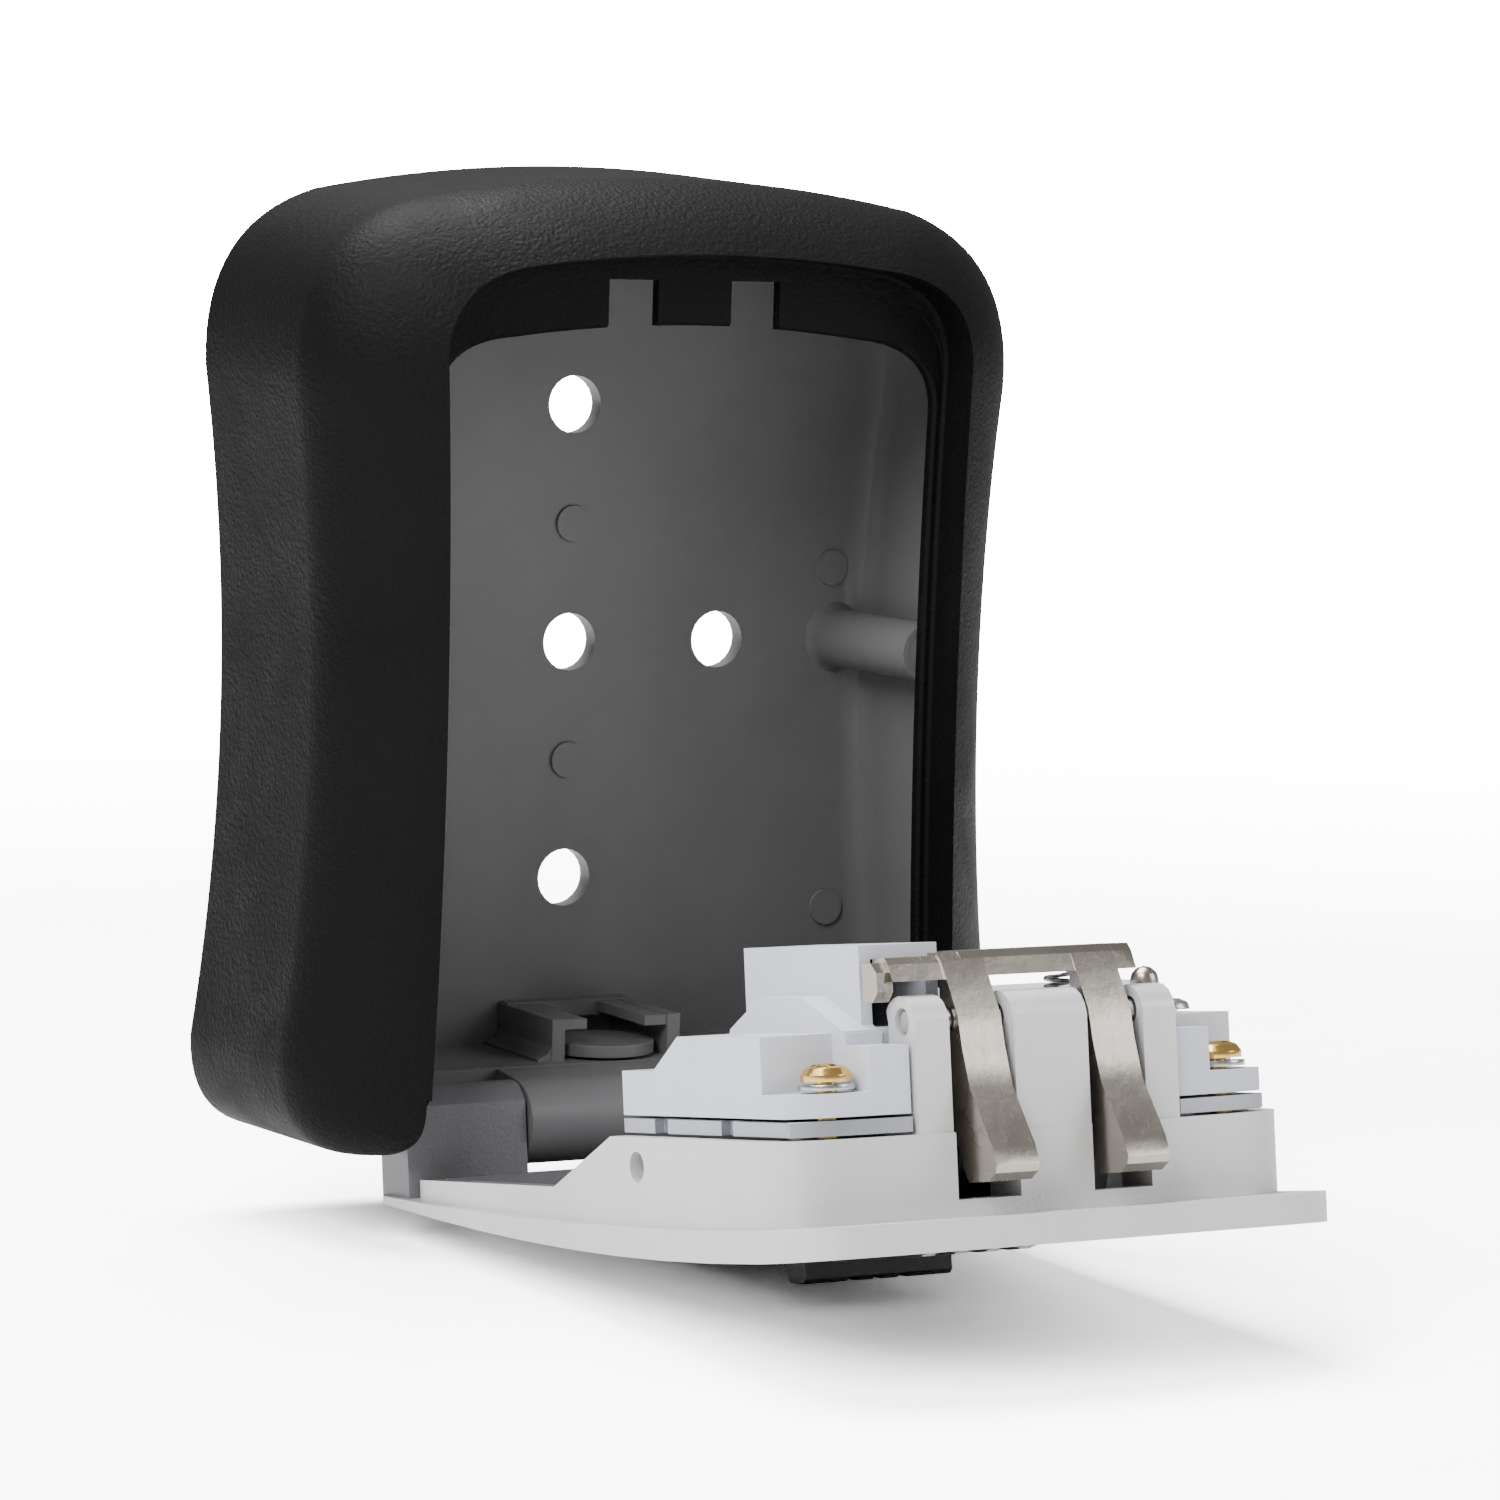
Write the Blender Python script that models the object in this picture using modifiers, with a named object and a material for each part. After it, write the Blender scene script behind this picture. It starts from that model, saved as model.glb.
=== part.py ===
"""Wall key lock box with its door hanging open: shell, tray, cast door and the four-dial mechanism."""

import bmesh
import bpy
from math import cos, pi, radians, sin, sqrt
from mathutils import Matrix, Vector

MM = 0.001
FIT = 0.3  # gap between pieces that touch

# overall sizes
WAIST = 44.9  # half-width of the shell at its waist
BULGE = 48.1  # half-width where the sides are fullest
BULGE_AT = 41.5  # height above and below the waist where that is
TOP = 62.4
BOTTOM = -52.6
DEPTH = 38.5
ARCH = 0.0029  # fall of the top edge per x squared
DRAFT = 0.045
BEZEL_START = 15.5 - DEPTH  # where the sides begin to turn in
SHELL_WALL = 1.9
TRAY_WALL = 1.6
BACK_WALL = 2.5

# front opening
OPEN_WAIST = 33.4
OPEN_FLARE = 0.9
OPEN_TOP = 52.6
RECESS = 5.9
LIP = 1.6
LIP_WAIST = 32.0
LIP_TOP = 44.4
FLOOR = -43.8
RAIL_TOP = -38.8

# hinge
AXIS_Y = 13.47 - DEPTH
AXIS_Z = -49.33
AXIS_DEPTH = 12.8  # from the crest of the door's outer face to the hinge axis
DOOR_OPEN = 81.7
BARREL_R = 5.0
BARREL_HALF = 17.2
PIN_R = 1.5
LUG_R = 5.0
LUG_OUT = 33.0
CUT_HALF = 34.9
CUT_BACK = 19.0 - DEPTH

# door
DOOR_GAP = 0.4
DOOR_TOP = OPEN_TOP - 0.6
DOOR_BOTTOM = BOTTOM
CROWN = 0.00096
CROWN_AT = 66.0
INNER_CROWN = 0.0006
INNER_AT = 56.0
PLATE = 3.2
TUB_HALF = LIP_WAIST - 0.7
TUB_TOP = LIP_TOP - 0.75
TUB_WALL = 2.2
TUB_HIGH = 12.8
TUB_LOW = 7.0
TRACK_N = 1.0
TRACK_HALF = 9.8

# mechanism
DIALS = 4
DIAL_PITCH = 4.0
DIAL_WIDTH = 3.6
DIAL_R = 12.5
AXLE_U = 73.0
AXLE_N = 11.3
AXLE_R = 2.0
RING_R = 7.0
LATCH_U = 90.0
LATCH_N = 24.4
LATCH_PIN_R = 1.2
PLATE_N = 13.1
PLATE_THICK = 1.6
COVER_N = PLATE_N + PLATE_THICK + 0.3
COVER_END = 51.9
COVER_SIDES = (-29.5, 28.6)
SLIDER_TRAVEL = 5.0

# fixings
WALL_HOLE_R = 3.5
WALL_HOLES = [(0, 5.0), (0, 33.8), (0, -23.8), (20.3, 5.0), (-20.3, 5.0)]
PILLAR_X = 37.2
PILLAR_Z = 5.0
PILLAR_R = 3.6
PILLAR_FRONT = 13.2 - DEPTH
SCREW_X = 24.1
SCREW_U = 87.3


def clear_scene():
    for old in list(bpy.data.objects):
        bpy.data.objects.remove(old)


def collection(name):
    made = bpy.data.collections.new(name)
    bpy.context.scene.collection.children.link(made)
    return made


def paint(name, colour, metallic, roughness):
    made = bpy.data.materials.new(name)
    made.use_nodes = True
    shader = made.node_tree.nodes["Principled BSDF"]
    shader.inputs["Base Color"].default_value = (*colour, 1)
    shader.inputs["Metallic"].default_value = metallic
    shader.inputs["Roughness"].default_value = roughness
    made.diffuse_color = (*colour, 1)
    return made


BLACK = ((0.012, 0.012, 0.013), 0.0, 0.5)
GREY = ((0.10, 0.10, 0.105), 0.0, 0.45)
CAST = ((0.62, 0.62, 0.63), 0.5, 0.4)
ZINC = ((0.68, 0.7, 0.74), 0.6, 0.35)
STEEL = ((0.6, 0.6, 0.6), 1.0, 0.3)
NICKEL = ((0.62, 0.58, 0.53), 1.0, 0.22)
BRASS = ((0.75, 0.55, 0.22), 1.0, 0.25)


def adopt(name, bm, look=None):
    """A piece when it has a look, otherwise a helper in the cutters' collection."""
    bmesh.ops.recalc_face_normals(bm, faces=bm.faces)
    if bm.calc_volume(signed=True) < 0:
        bmesh.ops.reverse_faces(bm, faces=bm.faces)
    mesh = bpy.data.meshes.new(name)
    bm.to_mesh(mesh)
    bm.free()
    obj = bpy.data.objects.new(name, mesh)
    if look:
        BOX.objects.link(obj)
        mesh.materials.append(paint(name, *look))
    else:
        CUTTERS.objects.link(obj)
        obj.hide_render = True
        obj.display_type = "WIRE"
    return obj


def box(name, x, y, z, look=None):
    bm = bmesh.new()
    bmesh.ops.create_cube(bm, size=1)
    size = Vector((x[1] - x[0], y[1] - y[0], z[1] - z[0])) * MM
    middle = Vector((x[0] + x[1], y[0] + y[1], z[0] + z[1])) * (MM / 2)
    bmesh.ops.scale(bm, vec=size, verts=bm.verts)
    bmesh.ops.translate(bm, vec=middle, verts=bm.verts)
    return adopt(name, bm, look)


def rod(name, radius, start, end, look=None, steps=24, tip=None):
    start, end = Vector(start) * MM, Vector(end) * MM
    turn = (end - start).to_track_quat("Z", "Y").to_matrix().to_4x4()
    place = Matrix.Translation((start + end) / 2) @ turn
    bm = bmesh.new()
    bmesh.ops.create_cone(
        bm,
        cap_ends=True,
        segments=steps,
        radius1=radius * MM,
        radius2=(radius if tip is None else tip) * MM,
        depth=(end - start).length,
        matrix=place,
    )
    return adopt(name, bm, look)


def mesh_from(obj):
    graph = bpy.context.evaluated_depsgraph_get()
    mesh = bpy.data.meshes.new_from_object(obj.evaluated_get(graph))
    bm = bmesh.new()
    bm.from_mesh(mesh)
    bmesh.ops.remove_doubles(bm, verts=bm.verts, dist=1e-6)
    bpy.data.objects.remove(obj)
    bpy.data.meshes.remove(mesh)
    return bm


def corners_only(points):
    """Leaves out the points that lie on a straight run."""
    found = []
    for i, spot in enumerate(points):
        before = Vector(spot) - Vector(points[i - 1])
        after = Vector(points[(i + 1) % len(points)]) - Vector(spot)
        if abs(before.cross(after)) > 1e-5:
            found.append(spot)
    return found


def plate(name, outlines, axis, span, look=None):
    """Flat outlines made thick along one axis. Points are the other two coordinates, in x, y, z order."""
    curve = bpy.data.curves.new(name, "CURVE")
    curve.dimensions = "2D"
    curve.fill_mode = "BOTH"
    curve.extrude = (span[1] - span[0]) * MM / 2
    for outline in map(corners_only, outlines):
        spline = curve.splines.new("POLY")
        spline.points.add(len(outline) - 1)
        spline.use_cyclic_u = True
        for point, (a, b) in zip(spline.points, outline):
            point.co = (a * MM, b * MM, 0, 1)
    flat = bpy.data.objects.new(name, curve)
    bpy.context.scene.collection.objects.link(flat)
    bm = mesh_from(flat)
    middle = (span[0] + span[1]) * MM / 2
    for vert in bm.verts:
        a, b, c = vert.co
        c += middle
        vert.co = {"x": (c, a, b), "y": (a, c, b), "z": (a, b, c)}[axis]
    return adopt(name, bm, look)


def turned(name, profile, place, look=None, steps=32):
    """A Screw of a profile of (radius, height) points about Z, then put in place."""
    mesh = bpy.data.meshes.new(name)
    points = [(r * MM, 0, h * MM) for r, h in profile]
    closed = profile[0][0] > 0
    edges = [(i, i + 1) for i in range(len(points) - 1)]
    if closed:
        edges.append((len(points) - 1, 0))
    mesh.from_pydata(points, edges, [])
    obj = bpy.data.objects.new(name, mesh)
    bpy.context.scene.collection.objects.link(obj)
    screw = obj.modifiers.new("Screw", "SCREW")
    screw.steps = steps
    screw.render_steps = steps
    screw.use_merge_vertices = True
    screw.merge_threshold = 1e-6
    bm = mesh_from(obj)
    bmesh.ops.transform(bm, matrix=place, verts=bm.verts)
    return adopt(name, bm, look)


def coil(name, start, end, radius, wire, turns, look):
    """A coil spring from start to end."""
    start, end = Vector(start), Vector(end)
    frame = (end - start).to_track_quat("Z", "Y").to_matrix()
    count = turns * 9 + 1
    curve = bpy.data.curves.new(name, "CURVE")
    curve.dimensions = "3D"
    curve.bevel_depth = wire * MM
    curve.bevel_resolution = 0
    curve.use_fill_caps = True
    spline = curve.splines.new("POLY")
    spline.points.add(count - 1)
    for i, point in enumerate(spline.points):
        part = i / (count - 1)
        angle = 2 * pi * turns * part
        across = Vector((radius * cos(angle), radius * sin(angle), 0))
        spot = (start + (end - start) * part + frame @ across) * MM
        point.co = (*spot, 1)
    obj = bpy.data.objects.new(name, curve)
    bpy.context.scene.collection.objects.link(obj)
    return adopt(name, mesh_from(obj), look)


def loft(name, rings, look=None, ring_closed=False):
    """Skins rings of equal count; ends are capped unless the last ring joins the first."""
    bm = bmesh.new()
    rows = [[bm.verts.new(Vector(p) * MM) for p in ring] for ring in rings]
    pairs = list(zip(rows, rows[1:]))
    if ring_closed:
        pairs.append((rows[-1], rows[0]))
    else:
        bm.faces.new(rows[0])
        bm.faces.new(rows[-1])
    for one, two in pairs:
        for i in range(len(one)):
            j = (i + 1) % len(one)
            bm.faces.new((one[i], one[j], two[j], two[i]))
    return adopt(name, bm, look)


def combine(obj, helper, operation="DIFFERENCE"):
    step = obj.modifiers.new(helper.name, "BOOLEAN")
    step.solver = "EXACT"
    step.operation = operation
    step.object = helper
    return obj


def cut(obj, *helpers):
    for helper in helpers:
        combine(obj, helper)


def add(obj, *helpers):
    for helper in helpers:
        combine(obj, helper, "UNION")


def hang(objects, empty, offset):
    """Gives objects modelled about the door's axis an origin at an empty of their own."""
    for obj in objects:
        obj.data.transform(Matrix.Translation(Vector(offset) * -MM))
        obj.parent = empty


def empty_at(name, place, parent=None):
    made = bpy.data.objects.new(name, None)
    made.empty_display_size = 0.01
    made.location = Vector(place) * MM
    made.parent = parent
    BOX.objects.link(made)
    return made


def curve_points(a, c, b, count):
    """Inner points of a quadratic curve from a to b, pulled to c."""
    found = []
    for i in range(1, count + 1):
        t = i / (count + 1)
        found.append(
            tuple(
                (1 - t) ** 2 * a[k] + 2 * t * (1 - t) * c[k] + t * t * b[k] for k in (0, 1)
            )
        )
    return found


def outline(waist, bulge, top, bottom, upper, lower):
    """Points (x, z) round a waisted outline. upper and lower give each corner's height, width and pull."""

    def side(z):
        return waist + (bulge - waist) * (z / BULGE_AT) ** 2

    def arch(x):
        return top - ARCH * x * x

    high, wide, pull_x, pull_z = upper
    z_up = top - high
    x_up = bulge - wide
    low, broad, drop_x, drop_z = lower
    z_low = bottom + low
    x_low = bulge - broad
    half = [(0.0, bottom), (x_low / 2, bottom), (x_low, bottom)]
    knee = (side(z_low) + drop_x, bottom + drop_z)
    half += curve_points(half[-1], knee, (side(z_low), z_low), 4)
    steps = 8
    for i in range(steps + 1):
        z = z_low + (z_up - z_low) * i / steps
        half.append((side(z), z))
    knee = (side(z_up) + pull_x, arch(x_up) - pull_z)
    half += curve_points(half[-1], knee, (x_up, arch(x_up)), 5)
    for part in (1.0, 0.75, 0.5, 0.25, 0.0):
        half.append((x_up * part, arch(x_up * part)))
    return half + [(-x, z) for x, z in reversed(half[1:-1])]


def outer(inset, low=0.3):
    """The shell's outer outline, drawn in by a gap."""
    corner = (24.4, 14.1, 1.0, 4.5)
    foot = (11.6, 11.1, 0.2, 0.3)
    return outline(
        WAIST - inset, BULGE - inset, TOP - inset, BOTTOM + inset * low, corner, foot
    )


def opening(inset=0.0):
    return outline(
        OPEN_WAIST - inset,
        OPEN_WAIST + OPEN_FLARE - inset,
        OPEN_TOP - inset,
        BOTTOM + 4.6,
        (13.0, 12.0, 0.3, 1.2),
        (5.0, 3.4, 0.2, 0.0),
    )


def lip_edge():
    return outline(
        LIP_WAIST,
        LIP_WAIST + OPEN_FLARE,
        LIP_TOP,
        BOTTOM + 6.6,
        (10.0, 9.5, 0.2, 0.8),
        (5.0, 3.4, 0.2, 0.0),
    )


def mix(one, two, part):
    return [
        tuple(a + (b - a) * part for a, b in zip(p, q)) for p, q in zip(one, two)
    ]


def drawn_in(points, gap):
    """An outline moved inward by a gap along its own normals."""
    count = len(points)
    found = []
    for i, (x, z) in enumerate(points):
        (ax, az), (bx, bz) = points[i - 1], points[(i + 1) % count]
        along = Vector((bx - ax, bz - az)).normalized()
        found.append((x - along.y * gap, z + along.x * gap))
    return found


def at_depth(points, y):
    return [(x, y, z) for x, z in points]


def bezel_point(t):
    """(share of the way to the opening, y) along the bezel's section."""
    ends = [(0.0, BEZEL_START), (0.0, 10.5 - DEPTH), (0.45, 4.5 - DEPTH), (1.0, -DEPTH)]
    weights = [(1 - t) ** 3, 3 * t * (1 - t) ** 2, 3 * t * t * (1 - t), t**3]
    return [sum(w * e[k] for w, e in zip(weights, ends)) for k in (0, 1)]


def inner_steps():
    """(share of the way to the opening, y) along the inside of the bezel."""
    return [(0.40, 9.2 - DEPTH), (0.20, 12.5 - DEPTH)]


def hinge_cutter(name, over=0.0):
    return box(name, (-CUT_HALF, CUT_HALF), (-50, CUT_BACK), (BOTTOM - 8, FLOOR + over))


def outer_shell():
    front = outer(DRAFT * -BEZEL_START)
    rings = [at_depth(outer(DRAFT * -y), y) for y in (0, BEZEL_START / 2, BEZEL_START)]
    for t in (0.12, 0.25, 0.38, 0.5, 0.62, 0.75, 0.88, 1.0):
        part, y = bezel_point(t)
        rings.append(at_depth(mix(front, opening(), part), y))
    ledge = -(DEPTH - RECESS)
    back = ledge + LIP
    rings.append(at_depth(opening(0.1), ledge))
    rings.append(at_depth(lip_edge(), ledge))
    rings.append(at_depth(lip_edge(), back))
    rings.append(at_depth(mix(front, opening(), 0.62), back))
    for part, y in inner_steps():
        rings.append(at_depth(mix(front, opening(), part), y))
    for y in (BEZEL_START + 3, 0):
        rings.append(at_depth(drawn_in(outer(DRAFT * -y), SHELL_WALL), y))
    shell = loft("outer_shell", rings, BLACK, ring_closed=True)
    cut(shell, hinge_cutter("shell_hinge_cut"))
    for side in (-1, 1):
        x = sorted((side * 4.8, side * 11.2))
        strike = (LIP_TOP - 3, LIP_TOP + 5.2)
        cut(shell, box(f"strike_{side}", x, (ledge - 1, back + 1), strike))
        spot = (side * PILLAR_X, PILLAR_Z)
        boss_end = PILLAR_FRONT - FIT
        boss = rod(
            f"shell_boss_{side}",
            2.6,
            (spot[0], back - 0.6, spot[1]),
            (spot[0], boss_end, spot[1]),
            steps=16,
        )
        hole = rod(
            f"shell_boss_bore_{side}",
            1.4,
            (spot[0], back + 0.6, spot[1]),
            (spot[0], boss_end + 2, spot[1]),
            steps=12,
        )
        add(shell, boss)
        cut(shell, hole)
    return shell


def tray_inside(inset=0.0):
    gap = SHELL_WALL + FIT + TRAY_WALL + inset
    return outline(
        WAIST - gap,
        BULGE - gap,
        TOP - gap,
        FLOOR,
        (20.0, 13.0, 0.8, 3.8),
        (4.0, 3.6, 0.3, 0.0),
    )


def inner_tray():
    gap = SHELL_WALL + FIT
    front = outer(DRAFT * -BEZEL_START)
    deep = BEZEL_START + 3
    rings = [at_depth(drawn_in(outer(DRAFT * -y), gap), y) for y in (0, deep)]
    edges = []
    for part, y in reversed(inner_steps()):
        edges.append((drawn_in(mix(front, opening(), part), 0.5), y + 0.3))
    rings += [at_depth(points, y) for points, y in edges]
    rings.append(at_depth(tray_inside(2.6), edges[-1][1]))
    rings.append(at_depth(tray_inside(1.3), BEZEL_START - 2))
    rings.append(at_depth(tray_inside(0.9), deep))
    rings.append(at_depth(tray_inside(0.2), -6.5))
    rings.append(at_depth(tray_inside(1.2), -3.6))
    rings.append(at_depth(tray_inside(3.6), -BACK_WALL))
    tray = loft("inner_tray", rings, GREY)
    cut(tray, hinge_cutter("tray_hinge_cut", 0.2))
    pillars_and_rails(tray)
    hinge_barrel(tray)
    for i, (x, z) in enumerate(WALL_HOLES):
        start, end = (x, 1, z), (x, -BACK_WALL - 1, z)
        cut(tray, rod(f"wall_hole_{i}", WALL_HOLE_R, start, end, steps=24))
    for side in (-1, 1):
        x = side * PILLAR_X
        bore = rod(
            f"pillar_bore_{side}", 1.4, (x, 1, PILLAR_Z), (x, PILLAR_FRONT - 2, PILLAR_Z), steps=12
        )
        sink = rod(
            f"pillar_sink_{side}", 3.2, (x, 1, PILLAR_Z), (x, -2.6, PILLAR_Z), steps=16
        )
        start, end = (x, PILLAR_FRONT + 0.05, PILLAR_Z), (x, PILLAR_FRONT - 6, PILLAR_Z)
        relief = rod(f"pillar_relief_{side}", 2.6 + FIT, start, end, steps=16)
        cut(tray, bore, sink, relief)
    return tray


def pillars_and_rails(tray):
    for side in (-1, 1):
        x = side * PILLAR_X
        foot = rod(
            f"pillar_foot_{side}",
            PILLAR_R + 1.6,
            (x, -1, PILLAR_Z),
            (x, -4.6, PILLAR_Z),
            steps=20,
            tip=PILLAR_R - 0.3,
        )
        post = rod(
            f"pillar_{side}",
            PILLAR_R,
            (x, -1, PILLAR_Z),
            (x, PILLAR_FRONT, PILLAR_Z),
            steps=20,
        )
        add(tray, post)
        add(tray, foot)
        web = sorted((side * 6.9, side * 8.6))
        lip = sorted((side * 3.9, side * 7.4))
        flare = [(side * 7.4, FLOOR - 0.9), (side * 10.4, FLOOR - 0.9), (side * 10.4, FLOOR + 0.3)]
        flare += [(side * 9.1, FLOOR + 0.9), (side * 8.4, FLOOR + 2.0), (side * 7.4, FLOOR + 2.0)]
        add(
            tray,
            box(f"rail_web_{side}", web, (-17.4, -1), (FLOOR - 1, RAIL_TOP)),
            box(f"rail_lip_{side}", lip, (-17.2, -1.2), (RAIL_TOP - 1.3, RAIL_TOP - 0.1)),
            plate(f"rail_foot_{side}", [flare], "y", (-17.3, -1.1)),
        )
    add(tray, box("rail_back", (-8.3, 8.3), (-4.6, -1.3), (RAIL_TOP - 1.8, RAIL_TOP + 0.2)))


def hinge_barrel(tray):
    barrel = rod(
        "barrel",
        BARREL_R,
        (-BARREL_HALF, AXIS_Y, AXIS_Z),
        (BARREL_HALF, AXIS_Y, AXIS_Z),
        steps=28,
    )
    back = CUT_BACK + 1.0
    points = [(AXIS_Y, AXIS_Z - 0.4), (back, AXIS_Z - 0.4), (back, FLOOR - 0.1)]
    points += [(CUT_BACK - 1.2, FLOOR - 0.15), (AXIS_Y, AXIS_Z + BARREL_R - 0.05)]
    web = plate("barrel_web", [points], "x", (0.2 - BARREL_HALF, BARREL_HALF - 0.2))
    bore = rod(
        "barrel_bore",
        PIN_R + FIT,
        (-BARREL_HALF - 1, AXIS_Y, AXIS_Z),
        (BARREL_HALF + 1, AXIS_Y, AXIS_Z),
        steps=16,
    )
    add(tray, barrel, web)
    cut(tray, bore)


def body_fittings():
    rod("floor_disc", 6.5, (0, -13.2, FLOOR + FIT), (0, -13.2, FLOOR + 1.8), GREY, 32)
    reach = LUG_OUT - 0.4
    rod("hinge_pin", PIN_R, (-reach, AXIS_Y, AXIS_Z), (reach, AXIS_Y, AXIS_Z), STEEL, 16)
    for side, word in ((-1, "left"), (1, "right")):
        x = side * PILLAR_X
        name = f"shell_screw_{word}"
        head = rod(name, 2.9, (x, -0.5, PILLAR_Z), (x, -2.3, PILLAR_Z), STEEL, 16)
        shank = rod(
            f"shell_shank_{side}", 1.1, (x, -2, PILLAR_Z), (x, PILLAR_FRONT - 4.1, PILLAR_Z), steps=12
        )
        add(head, shank)
        slot_x = box(
            f"shell_slot_a{side}", (x - 1.6, x + 1.6), (-1.3, 0), (PILLAR_Z - 0.3, PILLAR_Z + 0.3)
        )
        slot_z = box(
            f"shell_slot_b{side}", (x - 0.3, x + 0.3), (-1.3, 0), (PILLAR_Z - 1.6, PILLAR_Z + 1.6)
        )
        cut(head, slot_x, slot_z)


# ---- the door, modelled closed: x across, u up from the hinge axis, n in from the outer crest


def door_box(name, x, u, n, look=None):
    return box(name, x, (n[0] - AXIS_DEPTH, n[1] - AXIS_DEPTH), u, look)


def door_rod(name, radius, start, end, look=None, steps=24, tip=None):
    ends = [(x, n - AXIS_DEPTH, u) for x, u, n in (start, end)]
    return rod(name, radius, *ends, look, steps, tip)


def door_plate(name, outlines, axis, span, look=None):
    """axis n: points are (x, u). axis x: points are (u, n)."""
    if axis == "n":
        span = [value - AXIS_DEPTH for value in span]
        return plate(name, outlines, "y", span, look)
    turned_over = [[(n - AXIS_DEPTH, u) for u, n in points] for points in outlines]
    return plate(name, turned_over, "x", span, look)


def up_door(points):
    """World heights turned into heights above the hinge axis."""
    return [(x, z - AXIS_Z) for x, z in points]


def flange_outline():
    half = OPEN_WAIST - DOOR_GAP
    return outline(
        half,
        half + OPEN_FLARE,
        DOOR_TOP,
        DOOR_BOTTOM,
        (12.6, 11.8, 0.3, 1.2),
        (4.0, 3.6, 0.2, 0.0),
    )


def tub_outline(inset, bottom=3.7):
    half = TUB_HALF - inset
    return outline(
        half,
        half + OPEN_FLARE,
        TUB_TOP - inset,
        bottom + AXIS_Z + inset,
        (9.5 - inset * 0.5, 9.0 - inset * 0.5, 0.2, 0.8),
        (2.5, 2.4, 0.1, 0.0),
    )


def flange():
    points = up_door(flange_outline())
    right = points[2 : len(points) // 2]
    sections = []
    for x, u in right:
        out = CROWN * (u - CROWN_AT) ** 2 - AXIS_DEPTH
        inn = PLATE + INNER_CROWN * (u - INNER_AT) ** 2 - AXIS_DEPTH
        sections.append([(-x, out, u), (x, out, u), (x, inn, u), (-x, inn, u)])
    return loft("door_casting", sections, CAST)


def lug(name, side):
    points = [(-3.3, 4.95)]
    reach = sqrt(LUG_R**2 - 3.3**2)
    points.append((-3.3, AXIS_DEPTH + reach))
    for degrees in range(120, 45, -15):
        angle = radians(degrees)
        points.append((LUG_R * cos(angle), AXIS_DEPTH + LUG_R * sin(angle)))
    points += [(3.9, AXIS_DEPTH + 2.6), (3.9, 4.4)]
    span = sorted((side * (BARREL_HALF + 0.4), side * LUG_OUT))
    return door_plate(name, [points], "x", span)


def post_profile(back, front, top_u, radius, low):
    points = [(front, low), (front, LATCH_N)]
    for degrees in range(30, 151, 20):
        angle = radians(degrees)
        points.append((top_u + radius * cos(angle), 24.0 + radius * sin(angle)))
    return points + [(back, LATCH_N), (back, low)]


def door_casting():
    door = flange()
    ring = [up_door(tub_outline(0)), up_door(tub_outline(TUB_WALL))]
    tub = door_plate("tub", ring, "n", (2.6, TUB_HIGH))
    slope = [(0, TUB_LOW), (38, TUB_LOW), (52, TUB_HIGH), (52, 16), (0, 16)]
    cut(tub, door_plate("tub_slope", [slope], "x", (-40, 40)))
    under = [(0, 0), (22, 0), (22, 2.65), (8, 3.8), (0, 4.45)]
    cut(tub, door_plate("tub_under", [under], "x", (-40, 40)))
    add(door, tub)
    add(door, door_box("track_pad", (-12, 12), (16, 34), (TRACK_N, 4.0)))
    for side in (-1, 1):
        add(door, lug(f"lug_{side}", side))
        wide = sorted((side * 11.9, side * 16.0))
        profile = post_profile(86.6, 92.1, 89.0, 3.1, 4.0)
        add(door, door_plate(f"post_{side}", [profile], "x", wide))
        cheek = sorted((side * 9.3, side * 11.4))
        add(door, door_box(f"cheek_{side}", cheek, (69, 77), (2.6, 14.4)))
        spot = side * SCREW_X
        ends = (spot, SCREW_U, 2.8), (spot, SCREW_U, TUB_HIGH)
        add(door, door_rod(f"cover_boss_{side}", 3.0, *ends, steps=16))
    profile = post_profile(86.6, 92.8, 89.6, 3.2, 4.0)
    add(door, door_plate("post_middle", [profile], "x", (-4.5, 4.5)))
    door_cuts(door)
    return door


def door_cuts(door):
    track = (-TRACK_HALF, TRACK_HALF)
    cut(door, door_box("track_cut", track, (15, 87.6), (-3, TRACK_N)))
    cut(door, door_box("dial_window", (-8.6, 8.6), (62.4, 83.6), (0, 5)))
    cut(door, door_box("slider_slot", (-16.1, -12.1), (68.2, 79.2), (-3, 5)))
    for side in (-1, 1):
        wide = sorted((side * 4.5, side * 11.9))
        cut(door, door_box(f"finger_slot_{side}", wide, (89, 96), (5.8, 30)))
        spot = side * SCREW_X
        ends = (spot, SCREW_U, 4.6), (spot, SCREW_U, 20)
        cut(door, door_rod(f"cover_boss_bore_{side}", 1.4, *ends, steps=12))
        side_hole = sorted((side * 26, side * 36))
        ends = (side_hole[0], 58, 9.6), (side_hole[1], 58, 9.6)
        cut(door, door_rod(f"side_hole_{side}", 1.7, *ends, steps=16))
    lines = {
        "pin_bore": (PIN_R + FIT, 40, 0, AXIS_DEPTH),
        "latch_pin_bore": (LATCH_PIN_R + FIT, 20, LATCH_U - 0.6, LATCH_N),
        "axle_bore": (AXLE_R + FIT, 14, AXLE_U, AXLE_N),
    }
    for name, (radius, reach, u, n) in lines.items():
        ends = (-reach, u, n), (reach, u, n)
        cut(door, door_rod(name, radius, *ends, steps=16))


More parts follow.
